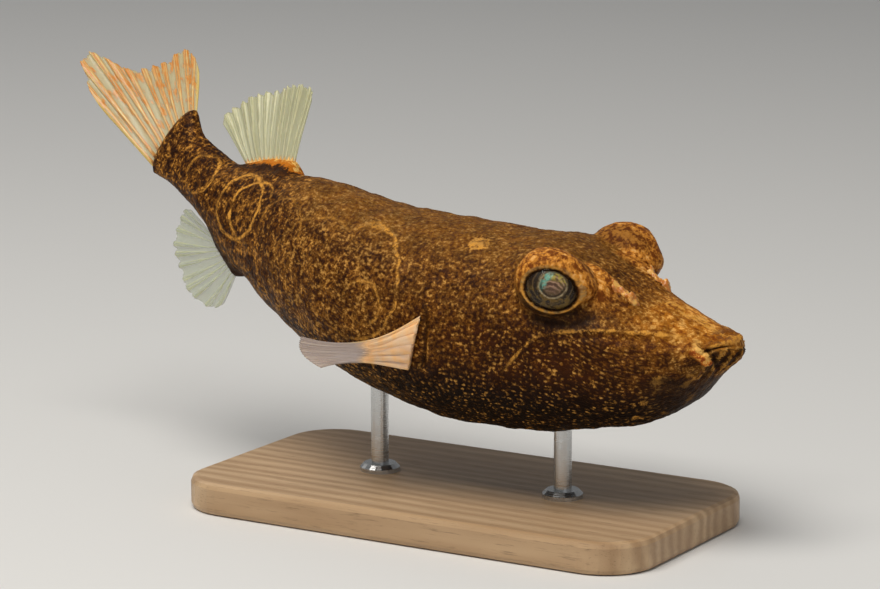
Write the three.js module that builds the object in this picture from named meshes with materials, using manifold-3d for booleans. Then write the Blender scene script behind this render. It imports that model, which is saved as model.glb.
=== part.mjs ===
// A freshwater pufferfish of the pointed-snout river kind, life size, swimming over a plain
// display stand. Millimetres, +Z up, +X towards the snout, +Y towards the fish's left side.
//
// The fish is described straight first. In that description a point's x is its station, the
// distance back from the snout tip along the body, y its side and z its height. bendBody()
// then lifts, turns and twists the tail end, and the fish group dips the snout and banks.
import * as THREE from 'three';
import { mergeVertices } from 'three/addons/utils/BufferGeometryUtils.js';
import Module from 'manifold-3d';

const wasm = await Module();
wasm.setup();

// ---- Driving dimensions, in millimetres and degrees ----

const GAP = 0.3; // clearance between neighbouring solids
const AROUND = { lips: 26, head: 44, trunk: 32, tail: 24 }; // facets round the body

// Body sections: station, half width, height of the back, height of the belly.
const SECTIONS = [
  [0, 4, 0.75, -1],
  [2, 5.25, 1.25, -2.75],
  [6, 6.5, 2.5, -7.5],
  [12, 9.5, 4.5, -11],
  [18, 11.5, 7.5, -12.5],
  [25, 12.5, 9.5, -14],
  [35, 13, 9.5, -14.5],
  [47, 12.5, 9.5, -12.5],
  [59, 9, 10, -9],
  [70, 5, 8, -5.5],
  [79, 3.5, 5, -3],
  [86, 2, 5, -2.5],
  [90, 1.5, 7, -3],
];
const ROUNDNESS = 2.25; // exponent of the superellipse that each section is
const NOSE_ROUNDING = 1.2; // stations over which the snout tip rounds off
const TAIL_ROUNDING = 1.6; // the same at the root of the tail fin

const MOUTH = { setBack: 3.0, reach: 9, slit: -0.05 }; // the gape curves back to its corners
const CUTS = { lips: 3.2, gill: 34.8, peduncle: 78.5, end: 91.2 }; // where one part ends

// Each eyeball sits in a mound of flesh, the orbit, with an oval opening.
const EYE = {
  centre: [20.7, 9.5, 5.9],
  axis: [-0.48, 0.84, 0.27], // the way the eye looks
  radius: 3.5,
  orbit: 4.3, // outer radius of the mound
  stretch: 1.1, // how much longer than high the eye and its mound are
  anchor: 3.2, // depth under the eye of the point that the mound swells away from
  fillet: 2.2, // softness of the join between the mound and the head
  opening: [55, 42], // degrees off the axis where the flesh stops, lengthwise and upward
  lower: 10, // degrees by which the opening faces lower than the eye
};
const NOSTRIL = { centre: [13.2, 4.5, 5.2], lean: 24, size: [1.3, 1.0, 1.9] };

// The fleshy ridges that carry the dorsal and anal fins.
const RIDGES = [
  { from: 67.2, to: 79.5, rampIn: 2.2, rampOut: 6.0, rise: 1.7, halfWidth: 2.0, side: 1 },
  { from: 68.4, to: 78.5, rampIn: 2.2, rampOut: 6.0, rise: 1.4, halfWidth: 1.8, side: -1 },
];

// Median fins. The base runs from one station and height to another. The rays' angle above
// straight back goes from the first to the last, eased by a power, and their length does the
// same, with lobes [share of the base, width, extra length] on top. The corners round off, and
// the blade turns to the fish's left by the angles aside, with a small wave.
const DORSAL_FIN = {
  base: [[69, 9.2], [77.3, 5.8]],
  angle: [70, 16],
  ease: 1.6,
  length: [11.3, 10],
  lobes: [],
  corner: 0.2,
  sharpness: 8,
  aside: [0, 0],
  wave: 2.5,
};
const ANAL_FIN = {
  base: [[70.4, -6.5], [76.2, -4.1]],
  angle: [-88, 8],
  ease: 1.15,
  length: [6.4, 7.8],
  lobes: [],
  corner: 0.3,
  sharpness: 6,
  aside: [0, 0],
  wave: 2.5,
};
const CAUDAL_FIN = {
  base: [[90.6, -2.5], [89.1, 6.2]],
  angle: [8, 28],
  ease: 1,
  length: [14.2, 13],
  lobes: [[0.2, 0.15, 6.3], [0.85, 0.12, 1.8]],
  corner: 0.3,
  sharpness: 14,
  aside: [-13, 24],
  wave: 0,
};
const FIN_WAVES = 2.6; // waves of a blade from its first ray to its last
const FIN_THICKNESS = { root: 1.1, tip: 0.55 };
const FIN_ROOTED = 2.0; // how far a fin's blade starts inside the flesh, before it is cut

// Pectoral fin: root, middle and tip of its top and bottom rays, on the fish's left side.
const PECTORAL = {
  top: [[36.3, 12.2, 0.3], [43.6, 13.6, -4.1], [51.6, 13.2, -6.2]],
  bottom: [[37.6, 12.2, -6.5], [43.4, 14.0, -6.6], [46.5, 17.3, -7.6]],
  bulge: 1.1, // how far the middle rays reach past the line between the two tips
  root: 1.9,
  tip: 0.55,
};

// Straight up to bendFrom, then bent and twisted evenly as far as bendTo.
const POSE = { bendFrom: 38, bendTo: 88, lift: 20.8, turn: 17, twist: 24, dip: 3.3, bank: 0.5 };

const STAND = { length: 64, width: 34, height: 4, corner: 6, edge: 0.7 };
const ROD = { radius: 1.1, foot: 2.5, footHeight: 1.0, facets: 20 };
const ROD_STATIONS = { front: 24, rear: 50 };
const SNOUT = { x: 38, z: 25 }; // where the stand holds the tip of the snout

// ---- Helpers ----

const clamp = (value) => Math.min(1, Math.max(0, value));

function smooth(value) {
  const t = clamp(value);
  return t * t * (3 - 2 * t);
}

// The larger of two values, rounded where they cross.
function softMax(one, other, softness) {
  const share = clamp(0.5 + (other - one) / (2 * softness));
  return THREE.MathUtils.lerp(one, other, share) + softness * share * (1 - share);
}

// A smooth curve through a table's rows that never overshoots them: it returns a function of
// the first column that gives the chosen column.
function curveThrough(rows, column) {
  const x = rows.map((row) => row[0]);
  const y = rows.map((row) => row[column]);
  const rise = x.slice(1).map((end, i) => (y[i + 1] - y[i]) / (end - x[i]));
  const slope = x.map((_, i) => {
    if (i === 0) return rise[0];
    if (i === x.length - 1) return rise[i - 1];
    if (rise[i - 1] * rise[i] <= 0) return 0;
    return (2 * rise[i - 1] * rise[i]) / (rise[i - 1] + rise[i]);
  });
  return (at) => {
    let i = 0;
    while (i < x.length - 2 && at > x[i + 1]) i++;
    const width = x[i + 1] - x[i];
    const t = clamp((at - x[i]) / width);
    const ease = t * t * (3 - 2 * t);
    const bow = t * (1 - t) * width;
    return y[i] + (y[i + 1] - y[i]) * ease + bow * (slope[i] * (1 - t) - slope[i + 1] * t);
  };
}

function solidFrom(geometry) {
  const bare = new THREE.BufferGeometry();
  bare.setAttribute('position', geometry.attributes.position);
  bare.setIndex(geometry.index);
  const merged = mergeVertices(bare, 1e-4);
  return new wasm.Manifold(
    new wasm.Mesh({
      numProp: 3,
      vertProperties: new Float32Array(merged.attributes.position.array),
      triVerts: new Uint32Array(merged.index.array),
    }),
  );
}

function geometryFrom(solid) {
  const mesh = solid.getMesh();
  const geometry = new THREE.BufferGeometry();
  geometry.setAttribute('position', new THREE.BufferAttribute(mesh.vertProperties, 3));
  geometry.setIndex(new THREE.BufferAttribute(mesh.triVerts, 1));
  geometry.computeVertexNormals();
  return geometry;
}

// Moves every vertex of a geometry by a function, then turns its faces outward again where
// that has turned the shape inside out.
function reshape(geometry, move) {
  const position = geometry.attributes.position;
  const point = new THREE.Vector3();
  for (let i = 0; i < position.count; i++) {
    point.fromBufferAttribute(position, i);
    const moved = move(point);
    position.setXYZ(i, moved.x, moved.y, moved.z);
  }
  return faceOutward(geometry);
}

function faceOutward(geometry) {
  const index = geometry.index;
  const corner = [0, 1, 2].map(() => new THREE.Vector3());
  let volume = 0;
  for (let i = 0; i < index.count; i += 3) {
    corner.forEach((p, k) => p.fromBufferAttribute(geometry.attributes.position, index.getX(i + k)));
    volume += corner[0].dot(corner[1].clone().cross(corner[2]));
  }
  if (volume < 0) {
    for (let i = 0; i < index.count; i += 3) {
      const second = index.getX(i + 1);
      index.setX(i + 1, index.getX(i + 2));
      index.setX(i + 2, second);
    }
  }
  return geometry;
}

// ---- The body's surface ----

const halfWidthAt = curveThrough(SECTIONS, 1);
const backAt = curveThrough(SECTIONS, 2);
const bellyAt = curveThrough(SECTIONS, 3);

const spread = (value) => Math.sign(value) * Math.abs(value) ** (2 / ROUNDNESS);

// How far a section has closed in towards the rounded ends of the body.
function closing(station) {
  const nose = clamp(1 - station / NOSE_ROUNDING);
  const tail = clamp(1 - (CUTS.end - station) / TAIL_ROUNDING);
  return Math.sqrt(1 - nose * nose) * Math.sqrt(1 - 0.9 * tail * tail);
}

function bodyPoint(station, angle, grow = 0) {
  const middle = (backAt(station) + bellyAt(station)) / 2;
  const halfHeight = (backAt(station) - bellyAt(station)) / 2;
  const side = (halfWidthAt(station) * closing(station) + grow) * spread(Math.cos(angle));
  const height = (halfHeight * closing(station) + grow) * spread(Math.sin(angle));
  return sculpt(new THREE.Vector3(station, side, middle + height));
}

// Sets the corners of the mouth back, raises the eye mounds and the ridges under the fins.
function sculpt(point) {
  const across = clamp(Math.abs(point.y) / halfWidthAt(point.x));
  const raised = point.clone();
  raised.x += MOUTH.setBack * across ** 2 * clamp(1 - point.x / MOUTH.reach) ** 1.5;
  for (const side of [-1, 1]) {
    const frame = eyeFrame(side);
    raised.copy(swell(raised.applyMatrix4(frame.clone().invert()))).applyMatrix4(frame);
  }
  for (const ridge of RIDGES) {
    const along = smooth((point.x - ridge.from) / ridge.rampIn);
    const fading = smooth((ridge.to - point.x) / ridge.rampOut);
    const crest = Math.exp(-((point.y / ridge.halfWidth) ** 2));
    const onSide = clamp(point.z * ridge.side);
    raised.z += ridge.side * ridge.rise * along * fading * crest * onSide;
  }
  return raised;
}

// An eye's own frame: z is the way it looks, x the body's length and y up, in a scale where
// the eye is round.
function eyeFrame(side) {
  const mirror = new THREE.Vector3(1, side, 1);
  const out = new THREE.Vector3(...EYE.axis).multiply(mirror).normalize();
  const back = new THREE.Vector3(1, 0, 0).projectOnPlane(out).normalize();
  const up = back.clone().cross(out).multiplyScalar(side);
  const centre = new THREE.Vector3(...EYE.centre).multiply(mirror);
  return new THREE.Matrix4().makeBasis(back.multiplyScalar(EYE.stretch), up, out).setPosition(centre);
}

// Pushes a point of the head's surface out to the orbit, away from a point under the eye.
function swell(point) {
  const anchor = new THREE.Vector3(0, 0, -EYE.anchor);
  const ray = point.clone().sub(anchor);
  const distance = ray.length();
  const lean = (EYE.anchor * ray.z) / distance;
  const orbit = lean + Math.sqrt(lean ** 2 + EYE.orbit ** 2 - EYE.anchor ** 2);
  return anchor.addScaledVector(ray, softMax(distance, orbit, EYE.fillet) / distance);
}

// ---- The bend of the body ----

// Unit vectors that point back along the body, to its left and up, at a station.
function directionsAt(station) {
  const share = smooth((station - POSE.bendFrom) / (POSE.bendTo - POSE.bendFrom));
  const [lift, turn, twist] = [POSE.lift, POSE.turn, POSE.twist].map(
    (degrees) => THREE.MathUtils.degToRad(degrees) * share,
  );
  const back = new THREE.Vector3(
    -Math.cos(turn) * Math.cos(lift),
    Math.sin(turn) * Math.cos(lift),
    Math.sin(lift),
  );
  const up = new THREE.Vector3(
    Math.cos(turn) * Math.sin(lift),
    -Math.sin(turn) * Math.sin(lift),
    Math.cos(lift),
  );
  const left = back.clone().cross(up);
  up.applyAxisAngle(back, twist);
  left.applyAxisAngle(back, twist);
  return { back, left, up };
}

// The spine is followed in steps of one millimetre as far as the root of the tail fin.
const SPINE = [{ at: new THREE.Vector3(), ...directionsAt(0) }];
while (SPINE.length <= SECTIONS.at(-1)[0]) {
  const before = SPINE.at(-1);
  const here = directionsAt(SPINE.length);
  const at = before.at.clone().addScaledVector(before.back, 0.5).addScaledVector(here.back, 0.5);
  SPINE.push({ at, ...here });
}

function bendBody(point) {
  const station = Math.min(SPINE.length - 1, Math.max(0, point.x));
  const low = Math.min(SPINE.length - 2, Math.floor(station));
  const part = station - low;
  const blend = (name) => SPINE[low][name].clone().lerp(SPINE[low + 1][name], part);
  return blend('at')
    .addScaledVector(blend('back'), point.x - station)
    .addScaledVector(blend('left'), point.y)
    .addScaledVector(blend('up'), point.z);
}

// ---- Solids ----

// Stations from one cut to the next, closest together at the two ends of the body.
function stationsBetween(from, to) {
  const stations = [from];
  while (stations.at(-1) < to - 1e-6) {
    const last = stations.at(-1);
    let step = 3;
    if (last < 1) step = 0.3;
    else if (last < 30) step = 1.7;
    else if (last > 89) step = 0.5;
    else if (last > 64) step = 2;
    const next = last + step;
    stations.push(next > to - step / 2 ? to : next);
  }
  return stations;
}

// A length of the body, closed at both ends by a cut across it. A sphere's rows of points are
// moved to the body's sections, and its poles to the middles of the cuts.
function bodySlice(from, to, facets, grow = 0) {
  const rings = stationsBetween(from, to).map((station) =>
    Array.from({ length: facets }, (_, i) =>
      bendBody(bodyPoint(station, (i / facets) * 2 * Math.PI, grow)),
    ),
  );
  const middleOf = (ring) =>
    ring.reduce((sum, p) => sum.add(p), new THREE.Vector3()).divideScalar(facets);
  const middles = [middleOf(rings[0]), middleOf(rings.at(-1))];
  const geometry = new THREE.SphereGeometry(1, facets, rings.length + 1);
  const position = geometry.attributes.position;
  for (let i = 0; i < position.count; i++) {
    const row = Math.floor(i / (facets + 1));
    const ring = rings[row - 1];
    const point = ring ? ring[i % (facets + 1) % facets] : middles[row === 0 ? 0 : 1];
    position.setXYZ(i, point.x, point.y, point.z);
  }
  return solidFrom(faceOutward(mergeVertices(stripped(geometry), 1e-4)));
}

function stripped(geometry) {
  geometry.deleteAttribute('normal');
  geometry.deleteAttribute('uv');
  return geometry;
}

// A box of straight body coordinates, bent with the body.
function bentBox(low, high) {
  const size = high.map((value, i) => value - low[i]);
  const box = new THREE.BoxGeometry(...size);
  box.translate(...low.map((value, i) => value + size[i] / 2));
  return solidFrom(reshape(stripped(box), bendBody));
}

// Bends a shape that is made in an eye's own frame into its place.
function seatedAtEye(geometry, side) {
  const frame = eyeFrame(side);
  return solidFrom(reshape(stripped(geometry), (p) => bendBody(p.applyMatrix4(frame))));
}

function eyeSphere(side, radius, across, down) {
  const sphere = new THREE.SphereGeometry(radius, across, down);
  return seatedAtEye(sphere.rotateX(Math.PI / 2), side);
}

// The cone, from the middle of the eye outward, that is open between the eyelids.
function eyeOpening(side) {
  const depth = 2 * EYE.orbit;
  const [along, up] = EYE.opening.map((degrees) => depth * Math.tan(THREE.MathUtils.degToRad(degrees)));
  const cone = new THREE.ConeGeometry(1, depth, 20);
  cone.rotateX(-Math.PI / 2).translate(0, 0, depth / 2).scale(along, up, 1);
  return seatedAtEye(cone.rotateX(THREE.MathUtils.degToRad(EYE.lower)), side);
}

function head() {
  let flesh = bodySlice(CUTS.lips + GAP / 2, CUTS.gill - GAP / 2, AROUND.head);
  for (const side of [-1, 1]) {
    flesh = flesh
      .add(eyeSphere(side, EYE.orbit, 24, 12))
      .subtract(eyeSphere(side, EYE.radius + GAP, 18, 10))
      .subtract(eyeOpening(side));
  }
  return flesh;
}

// The two lips are the front of the snout, parted along the slit of the mouth.
function lip(upper) {
  const muzzle = bodySlice(0.04, CUTS.lips - GAP / 2, AROUND.lips);
  const edge = MOUTH.slit + (upper ? GAP / 2 : -GAP / 2);
  const far = 20;
  const low = [-far, -far, upper ? -far : edge];
  const high = [far, far, upper ? edge : far];
  return muzzle.subtract(bentBox(low, high));
}

const trunk = () => bodySlice(CUTS.gill + GAP / 2, CUTS.peduncle - GAP / 2, AROUND.trunk);

const tail = () => bodySlice(CUTS.peduncle + GAP / 2, CUTS.end - 0.05, AROUND.tail);

// The ray of a median fin at a share of its base, from its first ray, 0, to its last, 1.
function rayAt(fin, share) {
  const between = ([first, last], at = share) => THREE.MathUtils.lerp(first, last, at);
  const [start, end] = fin.base;
  const wave = fin.wave * Math.sin(2 * Math.PI * FIN_WAVES * share);
  const lobed = ([place, width, extra]) => extra * Math.exp(-(((share - place) / width) ** 2));
  const length = fin.lobes.map(lobed).reduce((sum, extra) => sum + extra, between(fin.length));
  return {
    root: between([start[0], end[0]]),
    rise: between([start[1], end[1]]),
    length: length * (1 - fin.corner * (2 * share - 1) ** fin.sharpness),
    lean: THREE.MathUtils.degToRad(between(fin.angle, share ** fin.ease)),
    aside: THREE.MathUtils.degToRad(between(fin.aside) + wave),
  };
}

// A fin's blade between its first and last rays, cut off where it meets the flesh.
function medianFin(fin, flesh) {
  const blade = new THREE.BoxGeometry(1, 1, 1, 18, 5, 1);
  return solidFrom(
    reshape(stripped(blade), ({ x, y, z }) => {
      const share = x + 0.5;
      const { root, rise, length, lean, aside } = rayAt(fin, clamp(share));
      const reach = (length + FIN_ROOTED) * (y + 0.5) - FIN_ROOTED;
      const thick = THREE.MathUtils.lerp(FIN_THICKNESS.root, FIN_THICKNESS.tip, y + 0.5);
      const back = root + reach * Math.cos(aside) * Math.cos(lean);
      const side = Math.max(0, reach) * Math.sin(aside) + z * thick;
      const height = rise + reach * Math.cos(aside) * Math.sin(lean);
      return bendBody(new THREE.Vector3(back, side, height));
    }),
  ).subtract(flesh);
}

// The point on the pectoral fin's middle surface at a share of its base and of its length.
function pectoralPoint(share, along) {
  const [root, middle, tip] = PECTORAL.top.map((point, i) =>
    new THREE.Vector3(...point).lerp(new THREE.Vector3(...PECTORAL.bottom[i]), share),
  );
  tip.add(tip.clone().sub(middle).setLength(PECTORAL.bulge * Math.sin(Math.PI * share)));
  const control = middle.clone().multiplyScalar(2).addScaledVector(root, -0.5).addScaledVector(tip, -0.5);
  return new THREE.QuadraticBezierCurve3(root, control, tip).getPoint(along);
}

function pectoralFin(side, flesh) {
  const blade = new THREE.BoxGeometry(1, 1, 1, 8, 10, 1);
  const step = 0.01;
  return solidFrom(
    reshape(stripped(blade), ({ x, y, z }) => {
      const share = x + 0.5;
      const along = y + 0.5;
      const point = pectoralPoint(share, along);
      const down = pectoralPoint(share + step, along).sub(pectoralPoint(share - step, along));
      const away = pectoralPoint(share, along + step).sub(pectoralPoint(share, along - step));
      const thick = THREE.MathUtils.lerp(PECTORAL.root, PECTORAL.tip, smooth(along * 1.6));
      point.addScaledVector(down.cross(away).normalize(), z * thick);
      point.y *= side;
      return bendBody(point);
    }),
  ).subtract(flesh);
}

// The small flap beside each nostril.
function nostril(side, flesh) {
  const flap = new THREE.SphereGeometry(1, 12, 8);
  flap.scale(...NOSTRIL.size);
  flap.rotateX(THREE.MathUtils.degToRad(-NOSTRIL.lean * side));
  flap.translate(NOSTRIL.centre[0], NOSTRIL.centre[1] * side, NOSTRIL.centre[2]);
  return solidFrom(reshape(stripped(flap), bendBody)).subtract(flesh);
}

function standBase() {
  const [x, y, r] = [STAND.length / 2 - STAND.edge, STAND.width / 2 - STAND.edge, STAND.corner];
  const outline = new THREE.Shape();
  outline.absarc(x - r, y - r, r, 0, Math.PI / 2);
  outline.absarc(r - x, y - r, r, Math.PI / 2, Math.PI);
  outline.absarc(r - x, r - y, r, Math.PI, 1.5 * Math.PI);
  outline.absarc(x - r, r - y, r, 1.5 * Math.PI, 2 * Math.PI);
  outline.closePath();
  const board = new THREE.ExtrudeGeometry(outline, {
    depth: STAND.height - 2 * STAND.edge,
    bevelThickness: STAND.edge,
    bevelSize: STAND.edge,
    bevelSegments: 2,
    curveSegments: 4,
  });
  board.translate(0, 0, STAND.edge);
  return board;
}

// A rod with a turned foot, cut to the shape of the belly that it carries.
function standRod(station, belly) {
  const top = SNOUT.z;
  const { radius, foot, footHeight, facets } = ROD;
  const profile = [
    [0, 0],
    [foot, 0],
    [foot, footHeight * 0.5],
    [foot * 0.8, footHeight],
    [radius, footHeight],
    [radius, top],
    [0, top],
  ].map(([x, y]) => new THREE.Vector2(x, y));
  const rod = new THREE.LatheGeometry(profile, facets);
  rod.rotateX(Math.PI / 2);
  const x = bendBody(new THREE.Vector3(station, 0, 0)).x + SNOUT.x;
  rod.translate(x, 0, STAND.height);
  return solidFrom(reshape(stripped(rod), (p) => p)).subtract(belly);
}

// ---- The model ----

const MATERIALS = {
  skin: { color: 0x6b4216, roughness: 0.5, metalness: 0 },
  lips: { color: 0xa06a2c, roughness: 0.45, metalness: 0 },
  eye: { color: 0x2a2114, roughness: 0.08, metalness: 0 },
  fin: { color: 0xd9d2a4, roughness: 0.4, metalness: 0 },
  pectoral: { color: 0xd8a882, roughness: 0.45, metalness: 0 },
  nostril: { color: 0xd9a36a, roughness: 0.45, metalness: 0 },
  wood: { color: 0xc9a373, roughness: 0.55, metalness: 0 },
  steel: { color: 0xb4b6b8, roughness: 0.3, metalness: 1 },
};

function addMesh(group, name, geometry, material) {
  const mesh = new THREE.Mesh(geometry, new THREE.MeshStandardMaterial(MATERIALS[material]));
  mesh.name = name;
  group.add(mesh);
}

const pufferfish = new THREE.Group();
const fish = new THREE.Group();
const { dip, bank } = POSE;
fish.rotation.set(THREE.MathUtils.degToRad(bank), THREE.MathUtils.degToRad(dip), 0, 'YXZ');
fish.position.set(SNOUT.x, 0, SNOUT.z);
pufferfish.add(fish);

// The flesh grown by the gap: what grows from it is cut back by this.
const aroundNose = bodySlice(8, 20, AROUND.head, GAP);
const aroundShoulder = bodySlice(30, 58, AROUND.head, GAP);
const aroundTail = bodySlice(60, CUTS.end - 0.05, AROUND.trunk, GAP);

const fleshPieces = {
  head: head(),
  upper_lip: lip(true),
  lower_lip: lip(false),
  trunk: trunk(),
  tail: tail(),
};
for (const [name, solid] of Object.entries(fleshPieces)) {
  addMesh(fish, name, geometryFrom(solid), name.endsWith('lip') ? 'lips' : 'skin');
}
for (const [word, side] of [['right', -1], ['left', 1]]) {
  addMesh(fish, `eye_${word}`, geometryFrom(eyeSphere(side, EYE.radius, 18, 11)), 'eye');
  addMesh(fish, `nostril_${word}`, geometryFrom(nostril(side, aroundNose)), 'nostril');
  addMesh(fish, `pectoral_fin_${word}`, geometryFrom(pectoralFin(side, aroundShoulder)), 'pectoral');
}
addMesh(fish, 'dorsal_fin', geometryFrom(medianFin(DORSAL_FIN, aroundTail)), 'fin');
addMesh(fish, 'anal_fin', geometryFrom(medianFin(ANAL_FIN, aroundTail)), 'fin');
addMesh(fish, 'caudal_fin', geometryFrom(medianFin(CAUDAL_FIN, aroundTail)), 'fin');

fish.updateMatrixWorld(true);
const belly = bodySlice(14, 62, AROUND.head, GAP).transform(fish.matrixWorld.elements);
addMesh(pufferfish, 'stand_base', standBase(), 'wood');
for (const [word, station] of Object.entries(ROD_STATIONS)) {
  addMesh(pufferfish, `stand_rod_${word}`, geometryFrom(standRod(station, belly)), 'steel');
}

export default pufferfish;
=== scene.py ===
"""Skin, eyes, fins, stand and studio of a life-size freshwater pufferfish.

Laid out as an add-on and run as a script. The fish is described straight, in millimetres: a
point's x is its station, the distance back from the snout tip, y its side and z its height.
Body.placed() bends it, dips the snout and sets it over the stand, in metres.
"""

import math

import bmesh
import bpy
import numpy as np
from bpy.props import FloatProperty, FloatVectorProperty, IntProperty
from mathutils import Matrix, Vector


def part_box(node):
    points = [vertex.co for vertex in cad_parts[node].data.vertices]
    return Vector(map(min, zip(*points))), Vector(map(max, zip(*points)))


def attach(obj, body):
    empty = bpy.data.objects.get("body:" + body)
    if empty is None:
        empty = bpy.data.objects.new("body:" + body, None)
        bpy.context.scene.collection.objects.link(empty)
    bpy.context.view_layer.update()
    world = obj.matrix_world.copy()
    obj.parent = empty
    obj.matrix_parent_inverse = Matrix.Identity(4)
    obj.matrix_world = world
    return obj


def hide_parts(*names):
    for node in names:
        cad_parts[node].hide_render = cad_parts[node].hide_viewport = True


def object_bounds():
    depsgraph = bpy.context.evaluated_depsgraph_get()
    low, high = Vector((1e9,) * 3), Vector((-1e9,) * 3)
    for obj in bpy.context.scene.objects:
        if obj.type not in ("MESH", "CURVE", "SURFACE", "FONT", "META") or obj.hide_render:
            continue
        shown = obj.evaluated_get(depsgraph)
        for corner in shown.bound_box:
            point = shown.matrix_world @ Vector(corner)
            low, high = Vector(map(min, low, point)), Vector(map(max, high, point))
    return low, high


bl_info = {
    "name": "Freshwater pufferfish",
    "version": (1, 0, 0),
    "blender": (4, 5, 0),
    "location": "View3D > Sidebar > Pufferfish",
    "description": "Builds a life-size pufferfish on a display stand",
    "category": "Add Mesh",
}

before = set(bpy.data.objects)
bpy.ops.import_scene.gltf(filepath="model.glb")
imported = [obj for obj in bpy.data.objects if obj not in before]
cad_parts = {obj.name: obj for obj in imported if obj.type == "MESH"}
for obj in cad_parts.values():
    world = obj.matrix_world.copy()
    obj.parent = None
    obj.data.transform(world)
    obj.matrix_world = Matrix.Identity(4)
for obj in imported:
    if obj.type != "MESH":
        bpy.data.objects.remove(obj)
CAD_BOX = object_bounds()

MM = 0.001
# How far the skin's box may lie from that of the solids it replaces, in metres.
SKIN_MISFIT = 0.0015

# ---- The fish's form, in millimetres and degrees, as in the solid model ----

# Body sections: station, half width, height of the back, height of the belly.
SECTIONS = np.array([
    [0, 4, 0.75, -1],
    [2, 5.25, 1.25, -2.75],
    [6, 6.5, 2.5, -7.5],
    [12, 9.5, 4.5, -11],
    [18, 11.5, 7.5, -12.5],
    [25, 12.5, 9.5, -14],
    [35, 13, 9.5, -14.5],
    [47, 12.5, 9.5, -12.5],
    [59, 9, 10, -9],
    [70, 5, 8, -5.5],
    [79, 3.5, 5, -3],
    [86, 2, 5, -2.5],
    [90, 1.5, 7, -3],
])
# The sections' power, 2 for an ellipse, and the lengths over which the ends are rounded.
ROUNDNESS = 2.25
NOSE_ROUNDING = 1.2
TAIL_ROUNDING = 1.6
END = 91.2
# How far the corners of the mouth lie behind its middle, and where the snout is straight again.
MOUTH_SET_BACK = 3.0
MOUTH_REACH = 9.0

# The eye: its middle, the way it looks and how much longer than high it is.
EYE_CENTRE = np.array([20.7, 9.5, 5.9])
EYE_AXIS = np.array([-0.48, 0.84, 0.27])
EYE_STRETCH = 1.1
EYE_RADIUS = 3.5
# The skin round it: its distance from the eye's middle above, below and at the rim, how deep
# behind the eye its rays start, and how softly it runs into the head.
ORBIT_TOP = 4.3
ORBIT_LOW = 3.8
ORBIT_RIM = 3.82
ORBIT_ANCHOR = 3.0
ORBIT_FILLET = 2.0
# Half the opening of the lids along and up, and how far below the axis it looks, in degrees.
OPENING = (53.0, 40.5)
OPENING_LOWER = 11.0
NOSTRIL_CENTRE = np.array([13.8, 4.1, 4.7])
BEHIND_EYE = np.array([24.4, 7.2, 9.2])

# The cornea ends at this angle from the eye's axis, in radians, and swells over the bulge.
CORNEA_EDGE = 1.35
CORNEA_BULGE = 0.62
# Columns and rings of an eye and of a nostril flap.
EYE_GRID = (96, 80)
FLAP_GRID = (64, 48)

# The ridges under the dorsal and anal fins: from, to, rise, half width, side.
RIDGES = ((67.2, 79.5, 1.7, 2.0, 1), (68.4, 78.5, 1.4, 1.8, -1))

# Every fin: columns and rows of faces, the width of a ray as a share of the space between two,
# how far the swelling of the root reaches, and half the thickness there, in the web and in a ray.
# Median fins: the base's first and last station and height, the rays' first and last angle
# above straight back with the power that eases between them, their length with lobes of a
# place, a width and an extra length, the rounding of the corners, the blade's turn to the
# fish's left with its waves, the depth of its pleats and how far it reaches into the body.
DORSAL_FIN = {
    "grid": (182, 56),
    "ray_width": 0.15,
    "root_reach": 0.14,
    "halves": (0.5, 0.07, 0.16),
    "base": ((69, 9.2), (77.3, 5.8)),
    "angle": (70, 16),
    "ease": 1.6,
    "length": (11.3, 10),
    "lobes": (),
    "corner": 0.2,
    "sharpness": 8,
    "aside": (0, 0),
    "wave": 2.5,
    "pleat": 0.14,
    "inside": 1.6,
}
ANAL_FIN = {
    **DORSAL_FIN,
    "grid": (154, 48),
    "ray_width": 0.13,
    "halves": (0.4, 0.06, 0.14),
    "base": ((70.4, -6.5), (76.2, -4.1)),
    "angle": (-88, 8),
    "ease": 1.15,
    "length": (6.4, 7.8),
    "corner": 0.3,
    "sharpness": 6,
}
CAUDAL_FIN = {
    "grid": (176, 76),
    "ray_width": 0.17,
    "root_reach": 0.14,
    "halves": (1.1, 0.08, 0.2),
    "base": ((90.6, -2.5), (89.1, 6.2)),
    "angle": (8, 28),
    "ease": 1,
    "length": (14.2, 13),
    "lobes": ((0.2, 0.15, 6.3), (0.85, 0.12, 1.8)),
    "corner": 0.3,
    "sharpness": 14,
    "aside": (-13, 24),
    "wave": 0,
    "pleat": 0.18,
    "inside": 1.8,
}
# Waves along the base of a median fin.
FIN_WAVES = 2.6
# The pectoral fin: root, middle and tip of its first and last ray, and how far the tips between
# them bulge.
PECTORAL_FIN = {
    "grid": (150, 70),
    "ray_width": 0.17,
    "root_reach": 0.3,
    "halves": (0.75, 0.09, 0.17),
    "top": np.array([[36.3, 12.2, 0.3], [43.6, 13.6, -4.1], [51.6, 13.2, -6.2]]),
    "bottom": np.array([[37.6, 12.2, -6.5], [43.4, 14.0, -6.6], [46.5, 17.3, -7.6]]),
    "bulge": 1.1,
}

# Straight up to bend_from, then bent and twisted evenly as far as bend_to.
POSE = {"bend_from": 38, "bend_to": 88, "lift": 20.8, "turn": 17, "twist": 24, "dip": 3.3, "bank": 0.5}
SNOUT = Vector((38, 0, 25))

# The pale fold that runs from the corner of the mouth back across the cheek: station, height.
CHEEK_FOLD = np.array([[5, 1.1], [9, 1.5], [14.5, 1.6], [18.5, 1.1], [21.5, 0], [23.5, -2.4], [25.5, -5]])
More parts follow.
